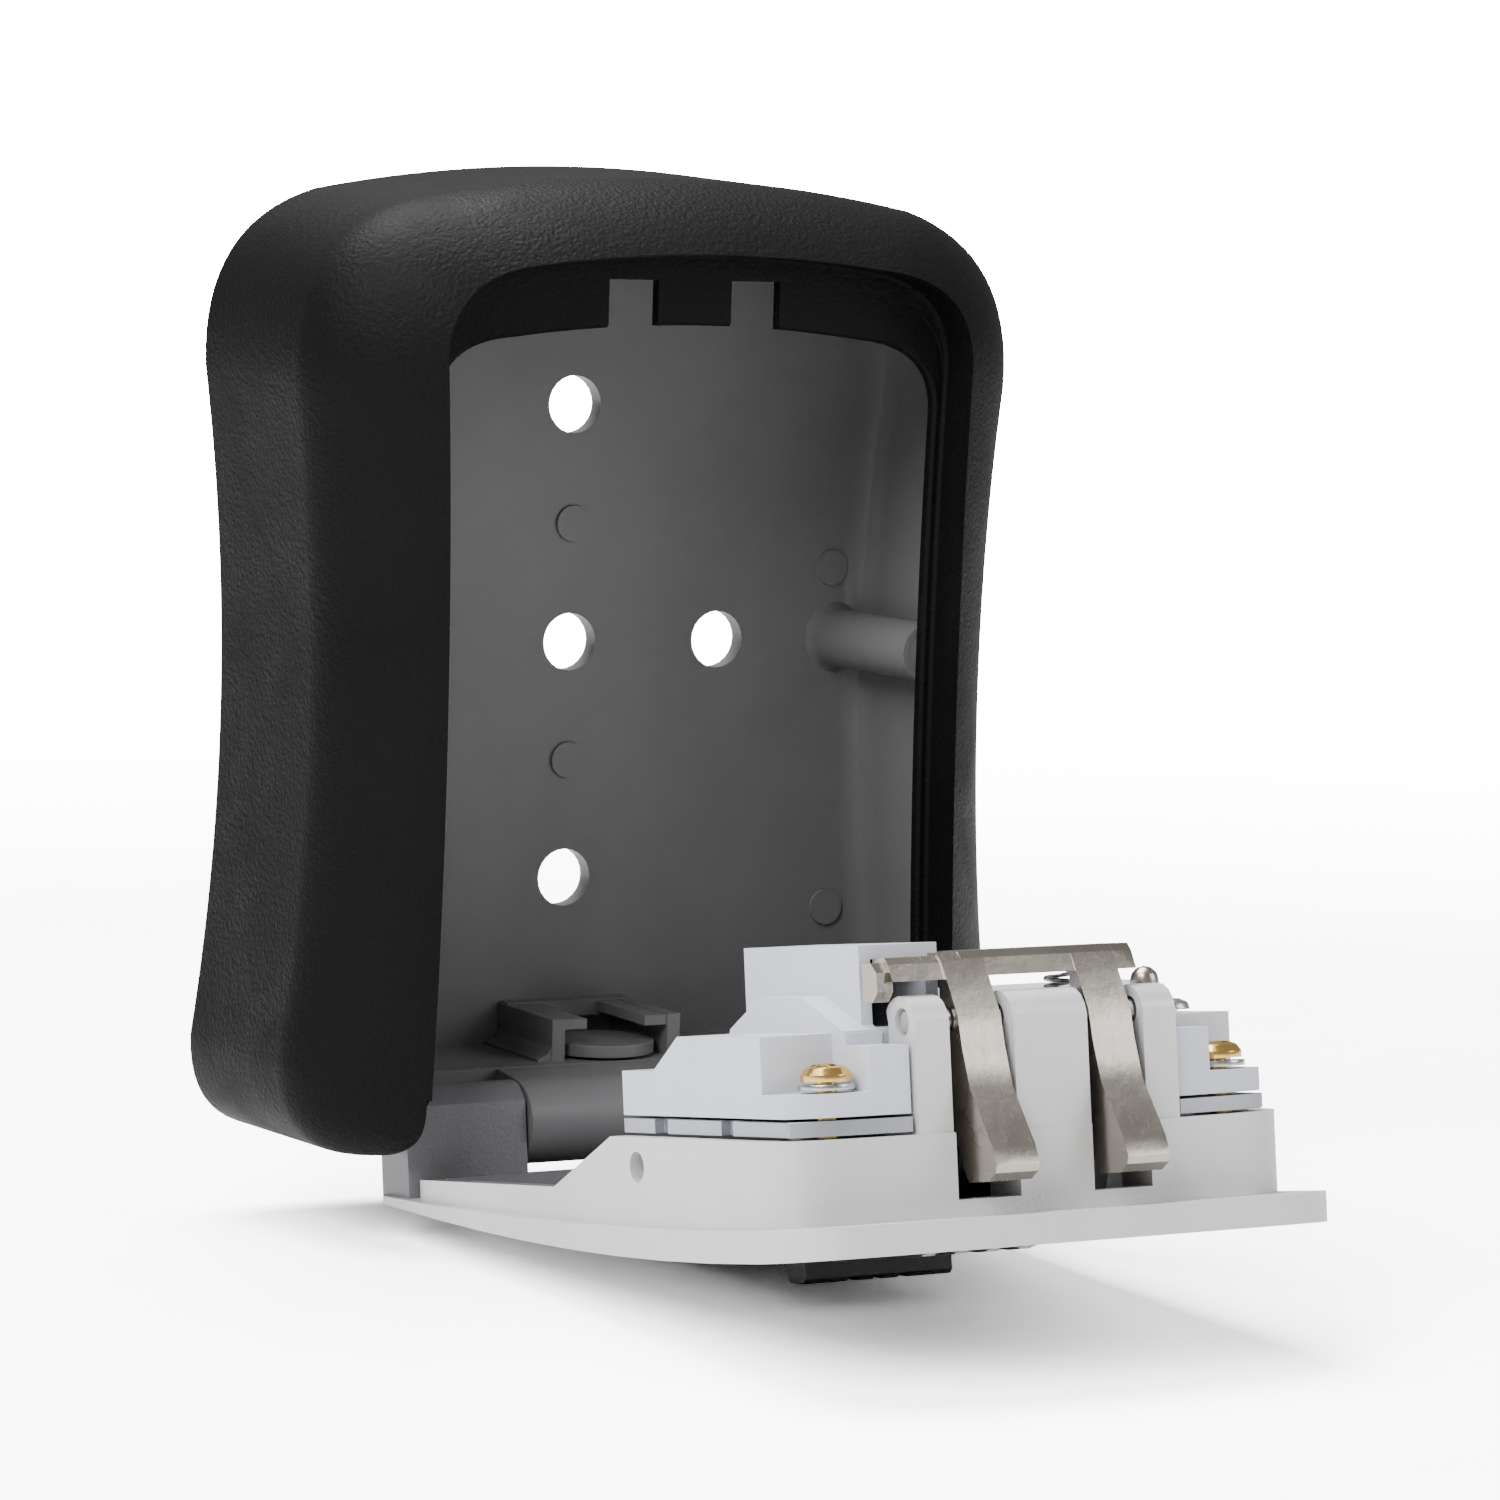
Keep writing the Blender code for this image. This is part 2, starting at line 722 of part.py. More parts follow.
def mechanism_plate():
    body = door_box(
        "mechanism_plate", COVER_SIDES, (COVER_END, 92.2), (PLATE_N, PLATE_N + PLATE_THICK), ZINC
    )
    edge = up_door(tub_outline(0.6))
    combine(body, door_plate("plate_edge", [edge], "n", (5, 30)), "INTERSECT")
    cut(body, door_box("plate_dials", (-11.8, 9.2), (59.8, 86.0), (10, 18)))
    cut(body, door_box("plate_slider", (-16.1, -11.0), (68.2, 79.2), (10, 18)))
    cut(body, door_box("plate_posts", (-16.4, 16.4), (85.6, 95), (10, 18)))
    cut(body, door_box("plate_cheek", (9.0, 11.8), (68.6, 77.4), (10, 18)))
    for side in (-1, 1):
        far = sorted((side * 28.3, side * 32))
        cut(body, door_box(f"plate_notch_a{side}", far, (59, 62), (10, 18)))
        cut(body, door_box(f"plate_notch_b{side}", far, (74, 76.5), (10, 18)))
        spot = side * SCREW_X
        ends = (spot, SCREW_U, 10), (spot, SCREW_U, 18)
        cut(body, door_rod(f"plate_bore_{side}", 1.6, *ends, steps=12))
    return body


def mechanism_cover():
    side_view = [
        (COVER_END, COVER_N),
        (92.0, COVER_N),
        (92.0, 23.5),
        (64.9, 23.5),
        (59.1, 19.8),
        (COVER_END, 19.8),
    ]
    body = door_plate("mechanism_cover", [side_view], "x", COVER_SIDES, ZINC)
    edge = up_door(tub_outline(0.9))
    combine(body, door_plate("cover_edge", [edge], "n", (5, 40)), "INTERSECT")
    ridge = [(60.7, 23.0), (61.0, 23.9), (68, 27.3), (77, 27.3), (85.6, 23.7), (85.6, 23.0)]
    housing = (-18, -8.5)
    add(body, door_plate("cover_ridge", [ridge], "x", (-20.9, 20.9)))
    add(body, door_box("cover_housing", housing, (59.5, 84.4), (22, 32.5)))
    cut(body, door_box("cover_post_space", (-16.4, 16.4), (85.8, 95), (10, 40)))
    for side in (-1, 1):
        corner = sorted((side * 20.9, side * 32))
        cut(body, door_box(f"cover_corner_{side}", corner, (83.2, 95), (17.5, 40)))
        block = sorted((side * 16.2, side * 21.2))
        cut(body, door_box(f"cover_block_{side}", block, (86.0, 95), (22.2, 40)))
        spot = side * SCREW_X
        ends = (spot, SCREW_U, 10), (spot, SCREW_U, 24)
        cut(body, door_rod(f"cover_bore_{side}", 1.5, *ends, steps=12))
    hollow_cover(body)
    return body


def hollow_cover(body):
    cut(body, door_box("cover_hollow", (-27.6, 26.7), (53.7, 81.6), (10, 18.1)))
    cut(body, door_box("cover_hollow_high", (-19.0, 26.7), (66.5, 81.6), (10, 21.7)))
    ends = (-9.2, AXLE_U, AXLE_N), (9.2, AXLE_U, AXLE_N)
    cut(body, door_rod("cover_dials", DIAL_R + 0.5, *ends, steps=32))
    cut(body, door_box("cover_spring_space", (-8.3, 8.3), (67.2, 78.8), (20, 25.9)))
    cut(body, door_box("cover_slider_space", (-16.6, -10.0), (61.2, 90), (23.9, 31.0)))
    cut(body, door_box("cover_stem_space", (-16.6, -11.6), (68.0, 79.4), (16, 26)))
    cut(body, door_rod("cover_latch_spring", 2.0, (7.0, 83.4, 23.2), (7.0, 83.4, 30), steps=14))
    ends = (25.4, 76.0, 20), (25.4, 76.0, 25)
    cut(body, door_rod("cover_zinc_hole", 1.3, *ends, steps=12))
    ends = (20.0, 80.0, 22.9), (20.0, 80.0, 30)
    cut(body, door_rod("cover_guide_hole", 1.9, *ends, steps=14))


def cover_fixings():
    for side, word in ((-1, "left"), (1, "right")):
        x = side * SCREW_X
        washer = door_rod(
            f"cover_washer_{word}", 3.0, (x, SCREW_U, 17.8), (x, SCREW_U, 18.4), STEEL, 24
        )
        bore = door_rod(f"washer_bore_{side}", 1.5, (x, SCREW_U, 17), (x, SCREW_U, 19), steps=12)
        cut(washer, bore)
        pan = [(0, 1.8), (1.3, 1.75), (2.2, 1.4), (2.7, 0.7), (2.7, 0.0)]
        pan += [(1.1, 0.0), (1.1, -13.5), (0, -13.5)]
        place = Matrix.Translation(Vector((x, 18.7 - AXIS_DEPTH, SCREW_U)) * MM)
        place @= Matrix.Rotation(radians(-90), 4, "X")
        screw = turned(f"cover_screw_{word}", pan, place, BRASS, 24)
        across = (x - 1.7, x + 1.7), (x - 0.33, x + 0.33)
        along = (SCREW_U - 0.33, SCREW_U + 0.33), (SCREW_U - 1.7, SCREW_U + 1.7)
        for i in (0, 1):
            cut(screw, door_box(f"cover_cross_{i}{side}", across[i], along[i], (19.6, 22)))
    place = Matrix.Translation(Vector((25.4, 23.8 - AXIS_DEPTH, 76.0)) * MM)
    place @= Matrix.Rotation(radians(-90), 4, "X")
    dome = [(0, 1.3), (1.3, 1.2), (2.2, 0.8), (2.5, 0.0), (1.0, 0.0), (1.0, -1.8), (0, -1.8)]
    turned("zinc_screw", dome, place, STEEL, 20)
    pin = [(0, 5.6), (0.8, 5.4), (1.4, 4.8), (1.6, 4.0), (1.6, 0), (0, 0)]
    place = Matrix.Translation(Vector((20.0, 23.2 - AXIS_DEPTH, 80.0)) * MM)
    place @= Matrix.Rotation(radians(-90), 4, "X")
    turned("guide_pin", pin, place, NICKEL, 16)


def dial_axle():
    return door_rod(
        "dial_axle", AXLE_R, (-11.4, AXLE_U, AXLE_N), (11.4, AXLE_U, AXLE_N), STEEL, 20
    )


def dials():
    """Wheels and the code rings inside them, on the axle."""
    made = []
    half = DIAL_WIDTH / 2
    bore = RING_R + FIT
    rim = [(bore, half), (DIAL_R - 0.7, half), (DIAL_R, half - 0.5)]
    rim += [(DIAL_R, 0.5 - half), (DIAL_R - 0.7, -half), (bore, -half)]
    hub = AXLE_R + FIT
    ring = [(hub, half), (RING_R, half), (RING_R, -half), (hub, -half)]
    for i in range(DIALS):
        x = (i - (DIALS - 1) / 2) * DIAL_PITCH
        place = Matrix.Translation(Vector((x, AXLE_N - AXIS_DEPTH, AXLE_U)) * MM)
        place @= Matrix.Rotation(radians(90), 4, "Y")
        made.append(turned(f"dial_wheel_{i + 1}", rim, place, BLACK, 30))
        made.append(turned(f"code_ring_{i + 1}", ring, place, BRASS, 18))
    return made


def detent_spring():
    """A leaf over the wheels with a dimple for each."""
    leaf = AXLE_N + DIAL_R + 0.9
    body = door_box("detent_spring", (-7.9, 7.9), (67.6, 78.4), (leaf, leaf + 0.5), STEEL)
    for i in range(DIALS):
        x = (i - (DIALS - 1) / 2) * DIAL_PITCH
        ends = (x, AXLE_U, leaf - 0.5), (x, AXLE_U, leaf + 0.2)
        add(body, door_rod(f"detent_{i}", 0.8, *ends, steps=8))
    return body


def latch():
    finger = [
        (88.2, 28.6),
        (88.0, 23.0),
        (88.6, 18.5),
        (90.0, 13.0),
        (91.6, 9.0),
        (92.6, 7.5),
        (96.5, 7.7),
        (98.0, 8.6),
        (98.3, 9.4),
        (97.5, 11.4),
        (93.6, 17.2),
        (92.3, 21.5),
        (91.7, 24.8),
        (88.7, 30.6),
        (87.8, 31.4),
        (86.0, 31.4),
        (86.0, 29.0),
    ]
    body = door_plate("latch", [finger], "x", (5.4, 10.6), NICKEL)
    add(body, door_plate("latch_finger", [finger], "x", (-10.6, -5.4)))
    bar = [(82.3, 29.2), (82.7, 28.8), (89.5, 28.8), (88.6, 30.7)]
    bar += [(87.9, 31.5), (83.0, 31.5), (82.3, 30.8)]
    add(body, door_plate("latch_bar", [bar], "x", (-8.1, 13.0)))
    tail = [(85.4, 28.7), (89.4, 28.6), (88.6, 30.4), (87.8, 31.1), (85.4, 31.1)]
    add(body, door_plate("latch_tail", [tail], "x", (-16.9, -7.5)))
    hook = [(85.6, 26.7), (87.6, 26.5), (88.6, 27.6), (88.5, 29.6), (87.4, 30.6), (85.5, 30.6)]
    add(body, door_plate("latch_hook", [hook], "x", (-18.3, -16.4)))
    ends = (-20, LATCH_U - 0.6, LATCH_N), (20, LATCH_U - 0.6, LATCH_N)
    cut(body, door_rod("latch_bore", LATCH_PIN_R + FIT, *ends, steps=16))
    return body


def latch_fittings():
    ends = (-15.6, LATCH_U - 0.6, LATCH_N), (15.6, LATCH_U - 0.6, LATCH_N)
    door_rod("latch_pin", LATCH_PIN_R, *ends, STEEL, 16)
    coil(
        "latch_spring",
        (7.0, 23.9 - AXIS_DEPTH, 83.4),
        (7.0, 28.4 - AXIS_DEPTH, 83.4),
        1.4,
        0.25,
        4,
        STEEL,
    )


def open_slider():
    pad = [(66.0, -0.4), (66.6, -0.9), (75.4, -0.9), (76.0, -0.4), (76.0, -0.25), (66.0, -0.25)]
    body = door_plate("open_slider", [pad], "x", (-17.2, -11.0), BLACK)
    add(body, door_box("slider_stem", (-15.7, -12.5), (68.7, 73.6), (-0.5, 27.5)))
    add(body, door_box("slider_block", (-16.2, -11.0), (68.7, 76.6), (26.2, 30.4)))
    for i in range(4):
        u = 68.2 + i * 1.9
        cut(body, door_box(f"slider_grip_{i}", (-18, -10), (u, u + 0.7), (-2, -0.6)))
    return body


def slider_spring():
    return coil(
        "slider_spring",
        (-13.4, 28.2 - AXIS_DEPTH, 61.9),
        (-13.4, 28.2 - AXIS_DEPTH, 68.0),
        1.6,
        0.28,
        5,
        STEEL,
    )


def weather_cover():
    out = [
        (20.0, 0.7),
        (20.0, -1.8),
        (20.8, -2.6),
        (49.6, -2.6),
        (50.5, -4.2),
        (51.2, -4.7),
        (54.1, -4.7),
        (54.6, -4.2),
        (54.6, 0.7),
    ]
    body = door_plate("weather_cover", [out], "x", (-9.4, 9.4), BLACK)
    cut(body, door_box("weather_hollow", (-8.2, 8.2), (21.4, 60), (-1.6, 3)))
    for i in range(3):
        x = (i - 1) * 3.2
        cut(body, door_box(f"weather_grip_{i}", (x - 0.5, x + 0.5), (49, 60), (-6, -4.3)))
    return body


def is_helper(obj):
    return obj.name in CUTTERS.objects


def build_door():
    """Everything on the door, then the empties that carry it."""
    before = set(bpy.data.objects)
    door_casting()
    mechanism_plate()
    mechanism_cover()
    cover_fixings()
    dial_axle()
    detent_spring()
    latch_fittings()
    open_slider()
    slider_spring()
    weather_cover()
    fixed = set(bpy.data.objects) - before
    before |= fixed
    latch()
    swinging = set(bpy.data.objects) - before
    before |= swinging
    wheels = dials()
    door_axis = empty_at("door_axis", (0, AXIS_Y, AXIS_Z))
    door_axis.rotation_euler.x = radians(DOOR_OPEN)
    for obj in fixed:
        obj.parent = door_axis
    spot = (0, LATCH_N - AXIS_DEPTH, LATCH_U - 0.6)
    hang(swinging, empty_at("latch_axis", spot, door_axis), spot)
    spot = (0, AXLE_N - AXIS_DEPTH, AXLE_U)
    hang(wheels, empty_at("dial_axis", spot, door_axis), spot)


def shade():
    for obj in BOX.objects:
        if obj.type != "MESH":
            continue
        obj.data.shade_smooth()
        obj.data.set_sharp_from_angle(angle=radians(32))


clear_scene()
BOX = collection("key_lock_box")
CUTTERS = collection("cutters")
outer_shell()
inner_tray()
body_fittings()
build_door()
shade()
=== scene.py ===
"""Key lock box hanging open: a waisted black shell, a grey liner and a cast door with a dial lock."""
from math import cos, pi, radians, sin

import bmesh
import bpy
from bpy.props import FloatProperty, FloatVectorProperty, IntProperty, PointerProperty
from mathutils import Matrix, Vector


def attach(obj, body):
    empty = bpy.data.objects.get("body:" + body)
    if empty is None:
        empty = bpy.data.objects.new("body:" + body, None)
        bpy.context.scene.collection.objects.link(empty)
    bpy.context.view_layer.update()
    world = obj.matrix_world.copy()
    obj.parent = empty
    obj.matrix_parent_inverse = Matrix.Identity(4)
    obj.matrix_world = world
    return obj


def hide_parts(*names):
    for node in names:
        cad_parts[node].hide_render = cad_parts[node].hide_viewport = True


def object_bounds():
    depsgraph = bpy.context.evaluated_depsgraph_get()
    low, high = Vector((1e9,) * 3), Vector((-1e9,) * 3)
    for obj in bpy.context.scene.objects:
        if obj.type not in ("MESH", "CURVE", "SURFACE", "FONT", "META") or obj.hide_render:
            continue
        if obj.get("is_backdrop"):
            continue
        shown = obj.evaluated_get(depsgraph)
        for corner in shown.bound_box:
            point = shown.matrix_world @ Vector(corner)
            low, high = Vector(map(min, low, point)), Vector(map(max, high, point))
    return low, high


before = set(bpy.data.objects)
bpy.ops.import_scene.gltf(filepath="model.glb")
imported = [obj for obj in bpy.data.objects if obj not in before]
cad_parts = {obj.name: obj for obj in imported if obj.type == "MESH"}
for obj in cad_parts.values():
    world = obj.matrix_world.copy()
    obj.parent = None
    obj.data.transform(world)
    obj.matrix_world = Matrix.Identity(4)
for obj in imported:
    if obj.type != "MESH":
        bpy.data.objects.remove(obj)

bl_info = {
    "name": "Key Lock Box",
    "version": (1, 0, 0),
    "blender": (4, 5, 0),
    "location": "View3D > Sidebar > Lock Box",
    "description": "Builds the finished look of a key lock box over its packed model",
    "category": "Object",
}

MM = 0.001

# millimetres and degrees; the names follow the box's own parts
DEPTH = 38.5
DRAFT = 0.045  # how far the sides lean in for each millimetre forward
SHELL_WALL = 1.9
BEZEL_START = 23.0
RECESS = 5.9
CUT_HALF, CUT_FRONT, FLOOR = 34.9, 19.5, -43.8
NOTCH = (4.8, 11.2)
NOTCH_TOP = 49.6
HINGE_Y, HINGE_Z, HINGE_DEPTH = -25.03, -49.33, 12.8
DOOR_TILT = 81.7
# the door's inner grey zone is painted shade: a darker grey standing in for the shadow inside the
# door near its hinge
WELL_HALF, WELL_END = 29.4, 60.0  # the door's inner grey zone
DIALS, DIAL_PITCH = 4, 4.0
AXLE_U, AXLE_N = 73.0, 11.3
MARK_SPOTS = ((0, 19.4), (0, -9.4), (37.5, 13.7), (-37.5, 13.7), (38, -28.8), (-38, -28.8))

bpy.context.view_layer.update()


# ---- sizes and colours


def colour(name, default, description):
    return FloatVectorProperty(
        name=name,
        description=description,
        subtype="COLOR",
        size=3,
        min=0,
        max=1,
        default=default,
    )


def size(name, default, description, low=0):
    return FloatProperty(name=name, description=description, default=default, min=low)


class LockBoxSizes(bpy.types.PropertyGroup):
    shell_edge: size("Shell edge radius (mm)", 0.3, "Radius along the cut edges of the shell")
    tray_edge: size("Liner edge radius (mm)", 0.35, "Radius along the edges of the liner")
    door_edge: size("Door edge radius (mm)", 0.35, "Radius along the edges of the door casting")
    cover_edge: size("Cover edge radius (mm)", 0.4, "Radius along the edges of the mechanism cover")
    latch_edge: size("Latch edge radius (mm)", 0.22, "Radius along the edges of the latch")
    small_edge: size(
        "Small edge radius (mm)",
        0.15,
        "Radius along the edges of screws, pins and slides",
    )
    digit: size("Digit height (mm)", 3.3, "Height of the figures on the dials", 1)
    ribs: IntProperty(
        name="Grip ribs per digit",
        description="Grip ribs between one figure and the next",
        default=2,
        min=0,
    )
    floor_lift: size(
        "Floor brightness to the camera",
        3.8,
        "How much brighter the floor is to the camera than to the box",
        1,
    )


class LockBoxLook(bpy.types.PropertyGroup):
    shell: colour("Shell", (0.0042, 0.0042, 0.0045), "Black grained plastic of the shell")
    liner: colour("Liner", (0.15, 0.147, 0.152), "Grey of the liner inside the box")
    door: colour("Door", (0.62, 0.62, 0.62), "Silver paint of the door casting")
    # painted shade: this darker grey stands in for the shadow inside the door near its hinge
    inside: colour(
        "Inside of the door",
        (0.16, 0.16, 0.17),
        "Darker grey inside the door near its hinge",
    )
    cover: colour("Mechanism cover", (0.55, 0.57, 0.63), "Blue-grey paint of the stepped cover")
    plate: colour("Mechanism plate", (0.42, 0.43, 0.47), "Bare zinc of the plate below the cover")
    nickel: colour("Nickel", (0.44, 0.405, 0.355), "Plating of the latch")
    brass: colour("Brass", (0.80, 0.53, 0.16), "Screws and code rings")
    steel: colour("Steel", (0.55, 0.55, 0.56), "Pins, washers and springs")
    digits: colour("Figures", (0.85, 0.85, 0.82), "Paint of the dial figures")
    floor: colour("Floor", (0.86, 0.86, 0.86), "Pale floor that the box stands on")


def sizes():
    return bpy.context.scene.lock_box_sizes


def look():
    return bpy.context.scene.lock_box_look


# ---- shared shader effects


def group_of(name, inputs, outputs):
    tree = bpy.data.node_groups.new(name, "ShaderNodeTree")
    for label, kind, value in inputs:
        made = tree.interface.new_socket(name=label, in_out="INPUT", socket_type=kind)
        if value is not None:
            made.default_value = value
    for label in outputs:
        tree.interface.new_socket(name=label, in_out="OUTPUT", socket_type="NodeSocketFloat")
    return tree, tree.nodes.new("NodeGroupInput"), tree.nodes.new("NodeGroupOutput")


def texture(tree, kind, vector, scale, **settings):
    node = tree.nodes.new(kind)
    tree.links.new(vector, node.inputs["Vector"])
    if isinstance(scale, (int, float)):
        node.inputs["Scale"].default_value = scale
    else:
        tree.links.new(scale, node.inputs["Scale"])
    for label, value in settings.items():
        node.inputs[label].default_value = value
    return node


def math(tree, operation, a, b):
    node = tree.nodes.new("ShaderNodeMath")
    node.operation = operation
    for socket, value in zip(node.inputs, (a, b)):
        if isinstance(value, (int, float)):
            socket.default_value = value
        else:
            tree.links.new(value, socket)
    return node.outputs[0]


def remap(tree, value, low, high, out_low=0.0, out_high=1.0):
    node = tree.nodes.new("ShaderNodeMapRange")
    tree.links.new(value, node.inputs["Value"])
    for label, number in zip(
        ("From Min", "From Max", "To Min", "To Max"), (low, high, out_low, out_high)
    ):
        node.inputs[label].default_value = number
    return node.outputs[0]


def grain_group():
    """Moulded leather grain: rounded cells broken up by finer noise."""
    tree, inp, out = group_of(
        "lock_box_grain",
        [("Vector", "NodeSocketVector", None), ("Scale", "NodeSocketFloat", 1500.0)],
        ("Height", "Shade"),
    )
    cells = texture(tree, "ShaderNodeTexVoronoi", inp.outputs[0], inp.outputs[1])
    cells.feature = "SMOOTH_F1"
    finer = math(tree, "MULTIPLY", inp.outputs[1], 0.55)
    noise = texture(tree, "ShaderNodeTexNoise", inp.outputs[0], finer, Detail=4, Roughness=0.6)
    broad = texture(tree, "ShaderNodeTexNoise", inp.outputs[0], 34, Detail=3)
    height = math(tree, "MULTIPLY_ADD", cells.outputs["Distance"], 0.6)
    tree.links.new(noise.outputs["Fac"], height.node.inputs[2])
    tree.links.new(height, out.inputs["Height"])
    tree.links.new(remap(tree, broad.outputs["Fac"], 0.3, 0.7), out.inputs["Shade"])
    return tree


def sand_group():
    """Fine sandy paint with a few brighter flecks."""
    tree, inp, out = group_of(
        "lock_box_sand",
        [("Vector", "NodeSocketVector", None), ("Scale", "NodeSocketFloat", 2600.0)],
        ("Height", "Shade"),
    )
    noise = texture(tree, "ShaderNodeTexNoise", inp.outputs[0], inp.outputs[1], Detail=3)
    specks = texture(tree, "ShaderNodeTexVoronoi", inp.outputs[0], inp.outputs[1])
    broad = texture(tree, "ShaderNodeTexNoise", inp.outputs[0], 26, Detail=4)
    flecks = remap(tree, specks.outputs["Distance"], 0.05, 0.35, 1.0, 0.0)
    shade = math(tree, "MULTIPLY_ADD", flecks, 0.25)
    tree.links.new(remap(tree, broad.outputs["Fac"], 0.3, 0.7), shade.node.inputs[2])
    tree.links.new(noise.outputs["Fac"], out.inputs["Height"])
    tree.links.new(shade, out.inputs["Shade"])
    return tree


def wear_group():
    """Handling marks: broad smears crossed by thin scratches."""
    tree, inp, out = group_of(
        "lock_box_wear",
        [("Vector", "NodeSocketVector", None), ("Scale", "NodeSocketFloat", 90.0)],
        ("Smears", "Scratches"),
    )
    smear = texture(
        tree, "ShaderNodeTexNoise", inp.outputs[0], inp.outputs[1], Detail=5, Distortion=0.6
    )
    stretch = tree.nodes.new("ShaderNodeMapping")
    stretch.inputs["Scale"].default_value = (1.0, 0.05, 0.3)
    stretch.inputs["Rotation"].default_value = (0.2, 0.7, 0.35)
    tree.links.new(inp.outputs[0], stretch.inputs["Vector"])
    fine = math(tree, "MULTIPLY", inp.outputs[1], 40.0)
    lines = texture(tree, "ShaderNodeTexNoise", stretch.outputs[0], fine, Detail=2)
    tree.links.new(remap(tree, smear.outputs["Fac"], 0.35, 0.7), out.inputs["Smears"])
    tree.links.new(remap(tree, lines.outputs["Fac"], 0.62, 0.72), out.inputs["Scratches"])
    return tree


EFFECTS = {}


def effect(name):
    makers = {"grain": grain_group, "sand": sand_group, "wear": wear_group}
    if name not in EFFECTS:
        EFFECTS[name] = makers[name]()
    return EFFECTS[name]


def use_effect(tree, name, vector, scale):
    node = tree.nodes.new("ShaderNodeGroup")
    node.node_tree = effect(name)
    node.inputs["Scale"].default_value = scale
    tree.links.new(vector, node.inputs["Vector"])
    return node


def mixed(tree, factor, one, two):
    node = tree.nodes.new("ShaderNodeMix")
    node.data_type = "RGBA"
    tree.links.new(factor, node.inputs["Factor"])
    node.inputs[6].default_value = (*one, 1)
    node.inputs[7].default_value = (*two, 1)
    return node.outputs[2]


FINISHES = {}


def finish(
    name,
    tone,
    skin,
    scale,
    depth,
    rough,
    spread=0.12,
    metallic=0.0,
    dim=0.8,
    worn=0.03,
    sheen=0.5,
):
    """A surface whose relief, colour and gloss all vary with its own grain."""
    if name in FINISHES:
        return FINISHES[name]
    made = bpy.data.materials.new(name)
    made.use_nodes = True
    made.diffuse_color = (*tone, 1)
    tree = made.node_tree
    shader = tree.nodes["Principled BSDF"]
    shader.inputs["Metallic"].default_value = metallic
    shader.inputs["Specular IOR Level"].default_value = sheen
    place = tree.nodes.new("ShaderNodeTexCoord").outputs["Object"]
    grain = use_effect(tree, skin, place, scale)
    wear = use_effect(tree, "wear", place, 70.0)
    darker = tuple(part * dim for part in tone)
    tint = mixed(tree, grain.outputs["Shade"], darker, tone)
    tree.links.new(tint, shader.inputs["Base Color"])
    gloss = math(tree, "MULTIPLY_ADD", wear.outputs["Scratches"], worn)
    base = remap(tree, wear.outputs["Smears"], 0.0, 1.0, rough - spread / 2, rough + spread / 2)
    tree.links.new(base, gloss.node.inputs[2])
    tree.links.new(gloss, shader.inputs["Roughness"])
    bump = tree.nodes.new("ShaderNodeBump")
    bump.inputs["Strength"].default_value = 1.0
    bump.inputs["Distance"].default_value = depth * MM
    tree.links.new(grain.outputs["Height"], bump.inputs["Height"])
    tree.links.new(bump.outputs["Normal"], shader.inputs["Normal"])
    FINISHES[name] = made
    return made


def shell_black():
    tone = tuple(look().shell)
    return finish("shell_black", tone, "grain", 2300.0, 0.1, 0.5, dim=0.7, sheen=0.06)


def liner_grey():
    return finish("liner_grey", tuple(look().liner), "grain", 900.0, 0.012, 0.42, dim=0.85, sheen=0.3)


def door_silver():
    tone = tuple(look().door)
    return finish("door_silver", tone, "sand", 2300.0, 0.05, 0.42, metallic=0.35, dim=0.9)


# painted shade: the darker grey of the door's inside near the hinge stands in for the shadow there
def door_inside():
    tone = tuple(look().inside)
    return finish("door_inside", tone, "sand", 2300.0, 0.05, 0.42, metallic=0.2, dim=0.9)


def cover_paint():
    return finish("cover_paint", tuple(look().cover), "sand", 1500.0, 0.02, 0.38, dim=0.9)


def plate_zinc():
    tone = tuple(look().plate)
    return finish("plate_zinc", tone, "sand", 1100.0, 0.02, 0.4, metallic=0.7)


def nickel():
    tone = tuple(look().nickel)
    return finish("nickel", tone, "sand", 420.0, 0.05, 0.27, 0.1, 1.0, dim=0.8, worn=0.06)


def brass():
    tone = tuple(look().brass)
    return finish("brass", tone, "sand", 900.0, 0.01, 0.22, 0.1, 1.0, dim=0.85, worn=0.1)


def steel():
    tone = tuple(look().steel)
    return finish("steel", tone, "sand", 900.0, 0.01, 0.28, 0.12, 1.0, dim=0.85, worn=0.1)


def dark_plastic():
    return finish("dark_plastic", tuple(look().shell), "grain", 2400.0, 0.03, 0.4)


def digit_paint():
    return finish("digit_paint", tuple(look().digits), "sand", 1500.0, 0.01, 0.5, dim=0.92)


# ---- making pieces


def keep(name, mesh, body, nodes=(), material=None):
    """A finished piece that rides on a body."""
    obj = bpy.data.objects.new(name, mesh)
    bpy.context.scene.collection.objects.link(obj)
    if material:
        mesh.materials.clear()
        mesh.materials.append(material)
    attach(obj, body)
    if nodes:
        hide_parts(*nodes)
    return obj


def solid_of(node):
    """A node's shape as a merged mesh of flat faces."""
    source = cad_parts[node]
    bm = bmesh.new()
    bm.from_mesh(source.data)
    bmesh.ops.remove_doubles(bm, verts=bm.verts, dist=2e-6)
    bmesh.ops.dissolve_limit(
        bm, angle_limit=radians(1.0), verts=bm.verts, edges=bm.edges, use_dissolve_boundaries=False
    )
    mesh = bpy.data.meshes.new(node)
    bm.to_mesh(mesh)
    bm.free()
    mesh.materials.clear()
    return mesh


def baked(obj):
    """The object's evaluated mesh; the object is removed."""
    graph = bpy.context.evaluated_depsgraph_get()
    graph.update()
    mesh = bpy.data.meshes.new_from_object(obj.evaluated_get(graph))
    bpy.data.objects.remove(obj)
    return mesh


